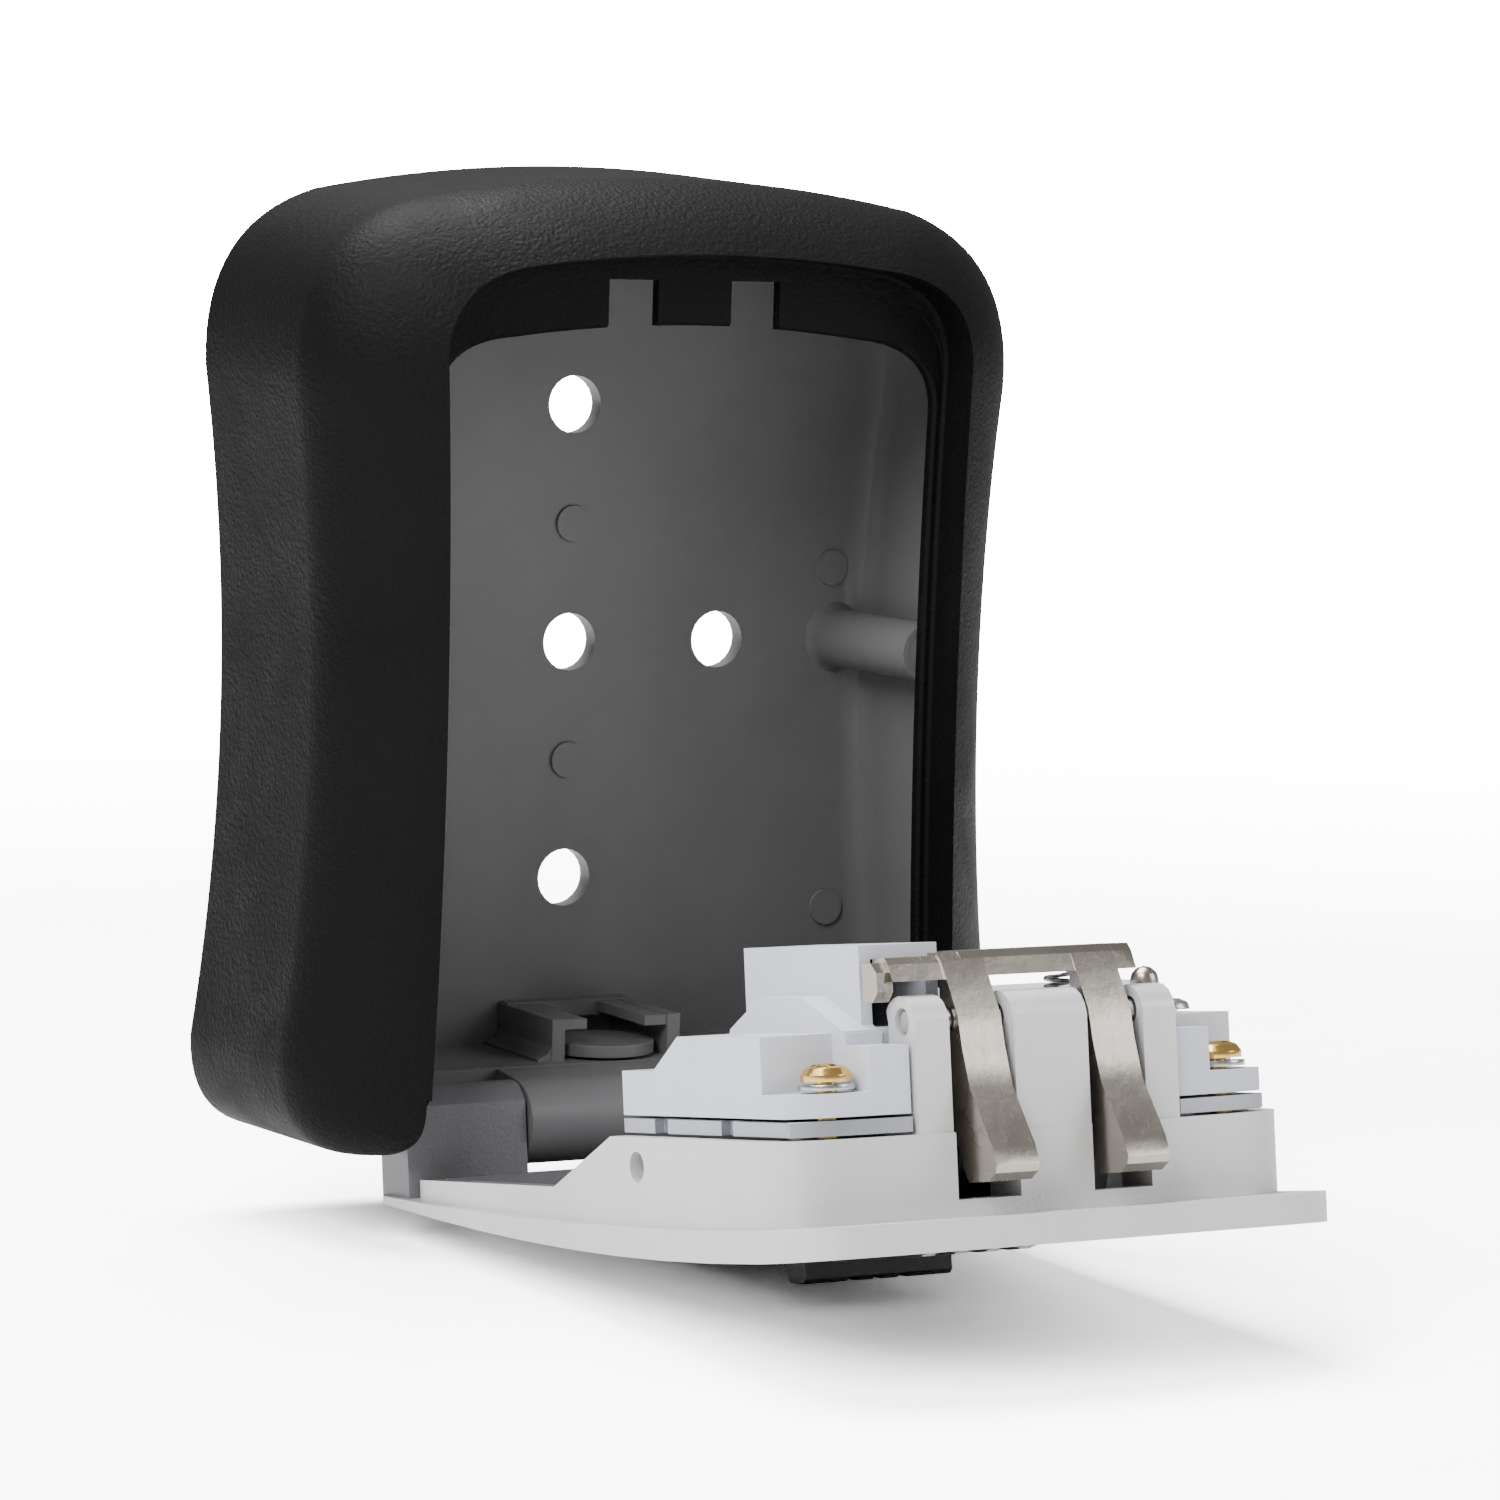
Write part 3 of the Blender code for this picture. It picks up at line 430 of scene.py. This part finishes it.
def rounded(mesh, width, angle=30.0, segments=2, crease=38.0):
    """The mesh with its sharp edges bevelled."""
    obj = bpy.data.objects.new("rounding", mesh)
    bpy.context.scene.collection.objects.link(obj)
    bevel = obj.modifiers.new("Bevel", "BEVEL")
    bevel.width = width * MM
    bevel.segments = segments
    bevel.limit_method = "ANGLE"
    bevel.angle_limit = radians(angle)
    bevel.use_clamp_overlap = True
    bevel.miter_outer = "MITER_ARC"
    made = baked(obj)
    made.shade_smooth()
    made.set_sharp_from_angle(angle=radians(crease))
    obj = bpy.data.objects.new("evening", made)
    bpy.context.scene.collection.objects.link(obj)
    even = obj.modifiers.new("Weighted", "WEIGHTED_NORMAL")
    even.keep_sharp = True
    return baked(obj)


def dressed(node, body, material, width, angle=30.0, segments=2, crease=38.0):
    """A node's shape with softened edges and its finish, standing for the node."""
    mesh = rounded(solid_of(node), width, angle, segments, crease)
    return keep(node + "_look", mesh, body, (node,), material)


def door_place(x, u, n):
    """A point on the open door: x across, u up from the hinge axis, n in from the outer face."""
    tilt = radians(DOOR_TILT)
    depth = n - HINGE_DEPTH
    y = HINGE_Y + depth * cos(tilt) - u * sin(tilt)
    z = HINGE_Z + depth * sin(tilt) + u * cos(tilt)
    return Vector((x, y, z)) * MM


def door_turn():
    """Turns local x, n, u into the open door's directions."""
    return Matrix.Rotation(radians(DOOR_TILT), 4, "X")


# ---- repeated and coiled shapes


def tree_with(name, inputs):
    tree = bpy.data.node_groups.new(name, "GeometryNodeTree")
    for label, kind in inputs:
        tree.interface.new_socket(name=label, in_out="INPUT", socket_type=kind)
    tree.interface.new_socket(
        name="Geometry", in_out="OUTPUT", socket_type="NodeSocketGeometry"
    )
    return tree, tree.nodes.new("NodeGroupInput"), tree.nodes.new("NodeGroupOutput")


def close_tree(tree, inp, out, geometry):
    """Every tree ends in plain geometry with its material."""
    real = tree.nodes.new("GeometryNodeRealizeInstances")
    tint = tree.nodes.new("GeometryNodeSetMaterial")
    tree.links.new(geometry, real.inputs[0])
    tree.links.new(real.outputs[0], tint.inputs["Geometry"])
    tree.links.new(inp.outputs["Material"], tint.inputs["Material"])
    tree.links.new(tint.outputs[0], out.inputs[0])


def ribs_tree():
    """Small bars set round a circle about Z, each turned to face out."""
    sockets = [
        ("Count", "NodeSocketInt"),
        ("Radius", "NodeSocketFloat"),
        ("Size", "NodeSocketVector"),
        ("Material", "NodeSocketMaterial"),
    ]
    tree, inp, out = tree_with("lock_box_ribs", sockets)
    ring = tree.nodes.new("GeometryNodeMeshCircle")
    tree.links.new(inp.outputs["Count"], ring.inputs["Vertices"])
    tree.links.new(inp.outputs["Radius"], ring.inputs["Radius"])
    bar = tree.nodes.new("GeometryNodeMeshCube")
    tree.links.new(inp.outputs["Size"], bar.inputs["Size"])
    spot = tree.nodes.new("GeometryNodeInputPosition")
    face = tree.nodes.new("FunctionNodeAlignRotationToVector")
    face.axis = "X"
    tree.links.new(spot.outputs[0], face.inputs["Vector"])
    copies = tree.nodes.new("GeometryNodeInstanceOnPoints")
    tree.links.new(ring.outputs[0], copies.inputs["Points"])
    tree.links.new(bar.outputs["Mesh"], copies.inputs["Instance"])
    tree.links.new(face.outputs[0], copies.inputs["Rotation"])
    close_tree(tree, inp, out, copies.outputs[0])
    return tree


def coil_tree():
    """A round wire wound up Z."""
    sockets = [
        ("Turns", "NodeSocketFloat"),
        ("Radius", "NodeSocketFloat"),
        ("Height", "NodeSocketFloat"),
        ("Wire", "NodeSocketFloat"),
        ("Material", "NodeSocketMaterial"),
    ]
    tree, inp, out = tree_with("lock_box_coil", sockets)
    spiral = tree.nodes.new("GeometryNodeCurveSpiral")
    spiral.inputs["Resolution"].default_value = 28
    tree.links.new(inp.outputs["Turns"], spiral.inputs["Rotations"])
    tree.links.new(inp.outputs["Radius"], spiral.inputs["Start Radius"])
    tree.links.new(inp.outputs["Radius"], spiral.inputs["End Radius"])
    tree.links.new(inp.outputs["Height"], spiral.inputs["Height"])
    wire = tree.nodes.new("GeometryNodeCurvePrimitiveCircle")
    wire.inputs["Resolution"].default_value = 10
    tree.links.new(inp.outputs["Wire"], wire.inputs["Radius"])
    tube = tree.nodes.new("GeometryNodeCurveToMesh")
    tube.inputs["Fill Caps"].default_value = True
    tree.links.new(spiral.outputs[0], tube.inputs["Curve"])
    tree.links.new(wire.outputs[0], tube.inputs["Profile Curve"])
    close_tree(tree, inp, out, tube.outputs[0])
    return tree


def from_tree(tree, values):
    """The plain mesh that a tree makes from these named inputs."""
    obj = bpy.data.objects.new("grown", bpy.data.meshes.new("grown"))
    bpy.context.scene.collection.objects.link(obj)
    nodes = obj.modifiers.new("Nodes", "NODES")
    nodes.node_group = tree
    for item in tree.interface.items_tree:
        if item.in_out == "INPUT":
            nodes[item.identifier] = values[item.name]
    return baked(obj)


def joined(meshes, name):
    """Several meshes as one, keeping their materials."""
    made = bmesh.new()
    used = []
    for mesh in meshes:
        for material in mesh.materials:
            if material not in used:
                used.append(material)
    for mesh in meshes:
        start = len(made.faces)
        made.from_mesh(mesh)
        made.faces.ensure_lookup_table()
        slots = [used.index(material) for material in mesh.materials]
        for face in made.faces[start:]:
            face.material_index = slots[face.material_index] if slots else 0
    result = bpy.data.meshes.new(name)
    made.to_mesh(result)
    made.free()
    for material in used:
        result.materials.append(material)
    return result


# ---- the shell's shape


def side_at(waist, bulge, z):
    return waist + (bulge - waist) * (z / 41.5) ** 2


def pulled(a, c, b, count):
    found = []
    for i in range(1, count + 1):
        t = i / (count + 1)
        found.append(
            tuple((1 - t) ** 2 * a[k] + 2 * t * (1 - t) * c[k] + t * t * b[k] for k in (0, 1))
        )
    return found


def outline(waist, bulge, top, bottom, upper, lower):
    """Points (x, z) round a waisted outline, finely divided."""
    high, wide, pull_x, pull_z = upper
    low, broad, drop_x, drop_z = lower
    z_up, x_up = top - high, bulge - wide
    z_low, x_low = bottom + low, bulge - broad
    arch = 0.0029
    half = [(x_low * i / 6, bottom) for i in range(7)]
    knee = (side_at(waist, bulge, z_low) + drop_x, bottom + drop_z)
    half += pulled(half[-1], knee, (side_at(waist, bulge, z_low), z_low), 11)
    for i in range(29):
        z = z_low + (z_up - z_low) * i / 28
        half.append((side_at(waist, bulge, z), z))
    end = (x_up, top - arch * x_up * x_up)
    knee = (side_at(waist, bulge, z_up) + pull_x, end[1] - pull_z)
    half += pulled(half[-1], knee, end, 15)
    for i in range(12, -1, -1):
        x = x_up * i / 12
        half.append((x, top - arch * x * x))
    return half + [(-x, z) for x, z in reversed(half[1:-1])]


def outer(inset):
    return outline(
        44.9 - inset,
        48.1 - inset,
        62.4 - inset,
        -52.6 + inset * 0.3,
        (24.4, 14.1, 1.0, 4.5),
        (11.6, 11.1, 0.2, 0.3),
    )


def opening(inset=0.0):
    return outline(
        33.4 - inset,
        34.3 - inset,
        52.6 - inset,
        -48.0,
        (13.0, 12.0, 0.3, 1.2),
        (5.0, 3.4, 0.2, 0.0),
    )


def lip_edge(inset=0.0):
    return outline(
        32.0 + inset,
        32.9 + inset,
        44.4 + inset,
        -46.0,
        (10.0, 9.5, 0.2, 0.8),
        (5.0, 3.4, 0.2, 0.0),
    )


def between(one, two, part):
    return [tuple(a + (b - a) * part for a, b in zip(p, q)) for p, q in zip(one, two)]


def drawn_in(points, gap):
    found = []
    for i, (x, z) in enumerate(points):
        (ax, az), (bx, bz) = points[i - 1], points[(i + 1) % len(points)]
        along = Vector((bx - ax, bz - az)).normalized()
        found.append((x - along.y * gap, z + along.x * gap))
    return found


def shell_rings():
    """The wall's section carried round: outside, bezel, recess, lip, inside."""
    front = outer(DRAFT * BEZEL_START)
    rings = [(outer(0.35), 0.0), (outer(0.0), -0.4)]
    rings += [(outer(DRAFT * depth), -depth) for depth in (4, 9, 14, 19, 21.5)]
    ends = [(0.0, -BEZEL_START), (0.0, -28.0), (0.45, -34.0), (1.0, -DEPTH)]
    for i in range(23):
        t = i / 22 * 0.985
        weights = [(1 - t) ** 3, 3 * t * (1 - t) ** 2, 3 * t * t * (1 - t), t**3]
        part, y = [sum(w * e[k] for w, e in zip(weights, ends)) for k in (0, 1)]
        rings.append((between(front, opening(), part), y))
    recess = RECESS - DEPTH
    rings += [(opening(-0.05), 0.05 - DEPTH), (opening(0.0), 0.3 - DEPTH)]
    rings += [(opening(0.02), -36), (opening(0.1), recess - 0.35), (opening(0.45), recess)]
    rings += [(between(opening(), lip_edge(), 0.3), recess)]
    rings += [(between(opening(), lip_edge(), 0.33), -32.45)]
    rings += [(lip_edge(0.35), -32.45), (lip_edge(0.0), -32.1), (lip_edge(0.0), -31.0)]
    inside = ((0.62, -31.0), (0.5, -30.2), (0.4, -29.3), (0.3, -27.9), (0.2, -26.0))
    rings += [(between(front, opening(), part), y) for part, y in inside]
    rings += [(drawn_in(outer(DRAFT * -y), SHELL_WALL), y) for y in (-20, -10, 0)]
    return [[(x, y, z) for x, z in points] for points, y in rings]


def skinned(name, rings):
    bm = bmesh.new()
    rows = [[bm.verts.new(Vector(p) * MM) for p in ring] for ring in rings]
    for one, two in zip(rows, rows[1:] + rows[:1]):
        for i in range(len(one)):
            j = (i + 1) % len(one)
            bm.faces.new((one[i], one[j], two[j], two[i]))
    bmesh.ops.recalc_face_normals(bm, faces=bm.faces)
    mesh = bpy.data.meshes.new(name)
    bm.to_mesh(mesh)
    bm.free()
    return mesh


def block(low, high):
    bm = bmesh.new()
    bmesh.ops.create_cube(bm, size=1)
    size = (Vector(high) - Vector(low)) * MM
    bmesh.ops.scale(bm, vec=size, verts=bm.verts)
    bmesh.ops.translate(bm, vec=(Vector(high) + Vector(low)) * (MM / 2), verts=bm.verts)
    mesh = bpy.data.meshes.new("block")
    bm.to_mesh(mesh)
    bm.free()
    return mesh


def cut_by(mesh, blocks):
    """The mesh with these blocks taken out of it."""
    obj = bpy.data.objects.new("cutting", mesh)
    bpy.context.scene.collection.objects.link(obj)
    helpers = []
    for low, high in blocks:
        helper = bpy.data.objects.new("helper", block(low, high))
        bpy.context.scene.collection.objects.link(helper)
        step = obj.modifiers.new("Cut", "BOOLEAN")
        step.solver = "EXACT"
        step.object = helper
        helpers.append(helper)
    made = baked(obj)
    for helper in helpers:
        bpy.data.objects.remove(helper)
    return made


def disc(radius, low, high, place, steps=40):
    """A flat round mark with a softened rim, standing along -Y at a place."""
    bm = bmesh.new()
    bmesh.ops.create_cone(
        bm,
        cap_ends=True,
        segments=steps,
        radius1=radius * MM,
        radius2=(radius - 0.12) * MM,
        depth=(high - low) * MM,
    )
    turn = Matrix.Rotation(radians(90), 4, "X")
    spot = Vector(place) * MM + Vector((0, -(low + high) / 2 * MM, 0))
    bmesh.ops.transform(bm, matrix=Matrix.Translation(spot) @ turn, verts=bm.verts)
    mesh = bpy.data.meshes.new("disc")
    bm.to_mesh(mesh)
    bm.free()
    return mesh


# ---- operators: one for each piece or group


class LOCKBOX_OT_shell(bpy.types.Operator):
    """The moulded shell, lofted through its rings and cut for the hinge and the strikes."""

    bl_idname = "lockbox.shell"
    bl_label = "Shell"

    def execute(self, context):
        mesh = skinned("outer_shell_look", shell_rings())
        blocks = [((-CUT_HALF, -50, -60), (CUT_HALF, -CUT_FRONT, FLOOR))]
        for side in (-1, 1):
            low, high = sorted(side * x for x in NOTCH)
            blocks.append(((low, -34, 40), (high, -30, NOTCH_TOP)))
        mesh = cut_by(mesh, blocks)
        mesh = rounded(mesh, sizes().shell_edge, 50)
        keep("outer_shell_look", mesh, "box", ("outer_shell",), shell_black())
        return {"FINISHED"}


class LOCKBOX_OT_liner(bpy.types.Operator):
    """The grey liner with its ejector marks and floor disc."""

    bl_idname = "lockbox.liner"
    bl_label = "Liner"

    def execute(self, context):
        dressed("inner_tray", "box", liner_grey(), sizes().tray_edge)
        back = [disc(2.3, -0.2, 0.4, (x * 0.965, -2.5, z)) for x, z in MARK_SPOTS]
        keep("liner_marks", joined(back, "liner_marks"), "box", (), liner_grey())
        dressed("floor_disc", "box", liner_grey(), sizes().small_edge)
        return {"FINISHED"}


class LOCKBOX_OT_body_fixings(bpy.types.Operator):
    """The hinge pin and the two screws that hold the shell."""

    bl_idname = "lockbox.body_fixings"
    bl_label = "Hinge pin and shell screws"

    def execute(self, context):
        for node in ("hinge_pin", "shell_screw_left", "shell_screw_right"):
            dressed(node, "box", steel(), sizes().small_edge)
        return {"FINISHED"}


class LOCKBOX_OT_door(bpy.types.Operator):
    """The door casting, with painted shade (a darker grey) inside near the hinge."""

    bl_idname = "lockbox.door"
    bl_label = "Door casting"

    def execute(self, context):
        door = dressed("door_casting", "door", door_silver(), sizes().door_edge)
        door.data.materials.append(door_inside())
        back = (Matrix.Translation(door_place(0, 0, 0)) @ door_turn()).inverted()
        # painted shade: floor, wall and lug faces inside the door near the hinge take the darker grey
        # that stands in for their shadow
        for face in door.data.polygons:
            x, n, u = back @ face.center / MM
            inward = back.to_3x3() @ face.normal
            within = abs(x) < WELL_HALF
            floor = within and 0.8 < n < 5 and u < 92 and inward.y > 0.5
            walls = within and u < WELL_END and n > 2.5 and inward.y > -0.5
            lugs = u < 7.5 and n > 6
            if floor or walls or lugs:
                face.material_index = 1
        return {"FINISHED"}


class LOCKBOX_OT_mechanism(bpy.types.Operator):
    """The plate and stepped cover of the lock, its axle and its detent leaf."""

    bl_idname = "lockbox.mechanism"
    bl_label = "Mechanism plate and cover"

    def execute(self, context):
        dressed("mechanism_plate", "door", plate_zinc(), sizes().small_edge)
        edge = sizes().cover_edge
        dressed("mechanism_cover", "door", cover_paint(), edge)
        dressed("detent_spring", "door", steel(), sizes().small_edge)
        dressed("dial_axle", "door", steel(), sizes().small_edge)
        return {"FINISHED"}


class LOCKBOX_OT_fixings(bpy.types.Operator):
    """Brass screws, steel washers, and the small screw and pins."""

    bl_idname = "lockbox.fixings"
    bl_label = "Screws, washers and pins"

    def execute(self, context):
        small = sizes().small_edge
        for side in ("left", "right"):
            dressed(f"cover_screw_{side}", "door", brass(), small)
            dressed(f"cover_washer_{side}", "door", steel(), small)
        dressed("zinc_screw", "door", steel(), small)
        dressed("guide_pin", "door", nickel(), small)
        dressed("latch_pin", "door", steel(), small)
        return {"FINISHED"}


class LOCKBOX_OT_latch(bpy.types.Operator):
    """The plated latch with its two hooked fingers."""

    bl_idname = "lockbox.latch"
    bl_label = "Latch"

    def execute(self, context):
        dressed("latch", "latch", nickel(), sizes().latch_edge, 24.0, 2, 14.0)
        return {"FINISHED"}


class LOCKBOX_OT_dials(bpy.types.Operator):
    """Four ribbed wheels with raised figures, and their code rings."""

    bl_idname = "lockbox.dials"
    bl_label = "Dials"

    def execute(self, context):
        tree = ribs_tree()
        for number in range(1, DIALS + 1):
            self.wheel(number, tree)
            node = f"code_ring_{number}"
            dressed(node, f"dial_{number}", brass(), sizes().small_edge)
        return {"FINISHED"}

    def wheel(self, number, tree):
        x = (number - (DIALS + 1) / 2) * DIAL_PITCH
        place = Matrix.Translation(door_place(x, AXLE_U, AXLE_N)) @ door_turn()
        place @= Matrix.Rotation(radians(90), 4, "Y")
        values = {
            "Count": 10 * sizes().ribs,
            "Radius": 12.36 * MM,
            "Size": Vector((0.3, 0.7, 2.2)) * MM,
            "Material": dark_plastic(),
        }
        ribs = from_tree(tree, values)
        half_step = pi / (10 * sizes().ribs)
        ribs.transform(place @ Matrix.Rotation(half_step, 4, "Z"))
        name = f"dial_wheel_{number}"
        base = rounded(solid_of(name), sizes().small_edge)
        base.materials.append(dark_plastic())
        parts = [base, ribs]
        for value in range(10):
            mark = self.digit(value)
            spin = Matrix.Rotation(2 * pi * value / 10 + pi, 4, "Z")
            mark.transform(place @ spin @ Matrix.Translation((12.46 * MM, 0, 0)))
            parts.append(mark)
        mesh = joined(parts, name)
        keep(name + "_look", mesh, f"dial_{number}", (name,))

    def digit(self, value):
        """A raised figure that faces +X and reads across the axle."""
        curve = bpy.data.curves.new("digit", "FONT")
        curve.body = str(value)
        curve.size = sizes().digit * MM * 1.25
        curve.extrude = 0.06 * MM
        curve.align_x = "CENTER"
        curve.align_y = "CENTER"
        curve.resolution_u = 3
        obj = bpy.data.objects.new("digit", curve)
        bpy.context.scene.collection.objects.link(obj)
        mesh = baked(obj)
        mesh.transform(Matrix.Scale(0.8, 4, (1, 0, 0)))
        mesh.transform(Matrix.Rotation(radians(90), 4, "Y") @ Matrix.Rotation(radians(180), 4, "Z"))
        mesh.materials.clear()
        mesh.materials.append(digit_paint())
        return mesh


class LOCKBOX_OT_slides(bpy.types.Operator):
    """The opening slider and the weather cover."""

    bl_idname = "lockbox.slides"
    bl_label = "Opening slider and weather cover"

    def execute(self, context):
        small = sizes().small_edge
        dressed("open_slider", "slider", dark_plastic(), small)
        dressed("weather_cover", "weather", dark_plastic(), small)
        return {"FINISHED"}


class LOCKBOX_OT_springs(bpy.types.Operator):
    """The latch's and the slider's coil springs."""

    bl_idname = "lockbox.springs"
    bl_label = "Springs"

    def execute(self, context):
        tree = coil_tree()
        places = {
            "latch_spring": ((7.0, 83.4, 23.9), -90, 5.0, 1.4, 4.5, 0.25),
            "slider_spring": ((-13.4, 61.9, 28.2), 0, 6.0, 1.6, 6.1, 0.28),
        }
        for node, (spot, turn, turns, radius, length, wire) in places.items():
            values = {
                "Turns": turns,
                "Radius": radius * MM,
                "Height": length * MM,
                "Wire": wire * MM,
                "Material": steel(),
            }
            mesh = from_tree(tree, values)
            mesh.shade_smooth()
            place = Matrix.Translation(door_place(*spot)) @ door_turn()
            mesh.transform(place @ Matrix.Rotation(radians(turn), 4, "X"))
            keep(node + "_look", mesh, "door", (node,))
        return {"FINISHED"}


# ---- the stage


def area_light(name, place, aim, size, power, tint=(1, 1, 1)):
    light = bpy.data.lights.new(name, "AREA")
    light.shape = "RECTANGLE"
    light.size, light.size_y = size
    light.energy = power
    light.color = tint
    obj = bpy.data.objects.new(name, light)
    bpy.context.scene.collection.objects.link(obj)
    obj.location = place
    obj.rotation_euler = (Vector(aim) - Vector(place)).to_track_quat("-Z", "Y").to_euler()
    return obj


class LOCKBOX_OT_stage(bpy.types.Operator):
    """The camera, the pale floor and the soft lights."""

    bl_idname = "lockbox.stage"
    bl_label = "Stage"

    def execute(self, context):
        self.camera()
        self.floor()
        self.lights()
        return {"FINISHED"}

    def camera(self):
        lens = bpy.data.cameras.new("camera")
        lens.sensor_width = 36.0
        lens.lens = 135.948
        lens.clip_start, lens.clip_end = 0.01, 30.0
        obj = bpy.data.objects.new("camera", lens)
        bpy.context.scene.collection.objects.link(obj)
        turn, dip, roll = radians(28.873), radians(5.838), radians(1.581)
        ahead = Vector((sin(turn) * cos(dip), cos(turn) * cos(dip), -sin(dip)))
        level = Vector((cos(turn), -sin(turn), 0))
        rise = level.cross(ahead)
        right = cos(roll) * level + sin(roll) * rise
        up = cos(roll) * rise - sin(roll) * level
        facing = Matrix((right, up, -ahead)).transposed().to_4x4()
        obj.matrix_world = Matrix.Translation(Vector((-311.32, -613.19, 62.46)) * MM) @ facing
        bpy.context.scene.camera = obj

    def floor(self):
        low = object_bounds()[0]
        mesh = bpy.data.meshes.new("floor")
        reach = 6.0
        corners = [(-reach, -reach), (reach, -reach), (reach, reach), (-reach, reach)]
        mesh.from_pydata([(x, y, 0) for x, y in corners], [], [(0, 1, 2, 3)])
        mesh.transform(Matrix.Translation((0, 0, low.z - 0.0004)))
        mesh.materials.append(self.floor_paint())
        obj = bpy.data.objects.new("floor", mesh)
        bpy.context.scene.collection.objects.link(obj)
        obj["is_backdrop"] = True

    def floor_paint(self):
        tone = tuple(look().floor)
        made = finish("floor_pale", tone, "sand", 60.0, 0.01, 0.6, dim=0.97, sheen=0.2)
        tree = made.node_tree
        shader = tree.nodes["Principled BSDF"]
        seen = tree.nodes.new("ShaderNodeLightPath").outputs["Is Camera Ray"]
        lifted = tuple(part * sizes().floor_lift for part in tone)
        tree.links.new(mixed(tree, seen, tone, lifted), shader.inputs["Base Color"])
        away = tree.nodes.new("ShaderNodeVectorMath")
        away.operation = "LENGTH"
        place = tree.nodes.new("ShaderNodeTexCoord").outputs["Object"]
        tree.links.new(place, away.inputs[0])
        fade = remap(tree, away.outputs["Value"], 0.25, 1.6, 0.0, 40.0)
        tree.links.new(math(tree, "MULTIPLY", fade, seen), shader.inputs["Emission Strength"])
        shader.inputs["Emission Color"].default_value = (1, 1, 1, 1)
        return made

    def lights(self):
        world = bpy.data.worlds.new("studio")
        world.use_nodes = True
        tree = world.node_tree
        sky = tree.nodes["Background"]
        sky.inputs["Color"].default_value = (1, 1, 1, 1)
        seen = tree.nodes.new("ShaderNodeLightPath").outputs["Is Camera Ray"]
        tree.links.new(remap(tree, seen, 0, 1, 0.35, 40.0), sky.inputs["Strength"])
        bpy.context.scene.world = world
        area_light("left_key", (-0.85, -0.45, 0.75), (0, -0.05, 0), (0.7, 0.7), 22)
        area_light("top_back", (-0.1, 0.3, 0.95), (0, 0, 0), (0.9, 0.6), 26)
        area_light("front_right", (0.75, -0.75, 0.45), (0, -0.05, 0), (0.6, 0.6), 5)


STEPS = (
    LOCKBOX_OT_shell,
    LOCKBOX_OT_liner,
    LOCKBOX_OT_body_fixings,
    LOCKBOX_OT_door,
    LOCKBOX_OT_mechanism,
    LOCKBOX_OT_fixings,
    LOCKBOX_OT_latch,
    LOCKBOX_OT_dials,
    LOCKBOX_OT_slides,
    LOCKBOX_OT_springs,
    LOCKBOX_OT_stage,
)


class LOCKBOX_PT_panel(bpy.types.Panel):
    """Sizes, colours and one button for each piece."""

    bl_label = "Key Lock Box"
    bl_space_type = "VIEW_3D"
    bl_region_type = "UI"
    bl_category = "Lock Box"

    def draw(self, context):
        for group in (context.scene.lock_box_sizes, context.scene.lock_box_look):
            column = self.layout.column()
            for label in group.__annotations__:
                column.prop(group, label)
        for step in STEPS:
            self.layout.operator(step.bl_idname)


CLASSES = (LockBoxSizes, LockBoxLook, *STEPS, LOCKBOX_PT_panel)


def register():
    for made in CLASSES:
        bpy.utils.register_class(made)
    bpy.types.Scene.lock_box_sizes = PointerProperty(type=LockBoxSizes)
    bpy.types.Scene.lock_box_look = PointerProperty(type=LockBoxLook)


def unregister():
    del bpy.types.Scene.lock_box_look
    del bpy.types.Scene.lock_box_sizes
    for made in reversed(CLASSES):
        bpy.utils.unregister_class(made)


def main():
    register()
    bpy.context.view_layer.update()
    for step in STEPS:
        space, name = step.bl_idname.split(".")
        getattr(getattr(bpy.ops, space), name)()


if __name__ == "__main__":
    main()
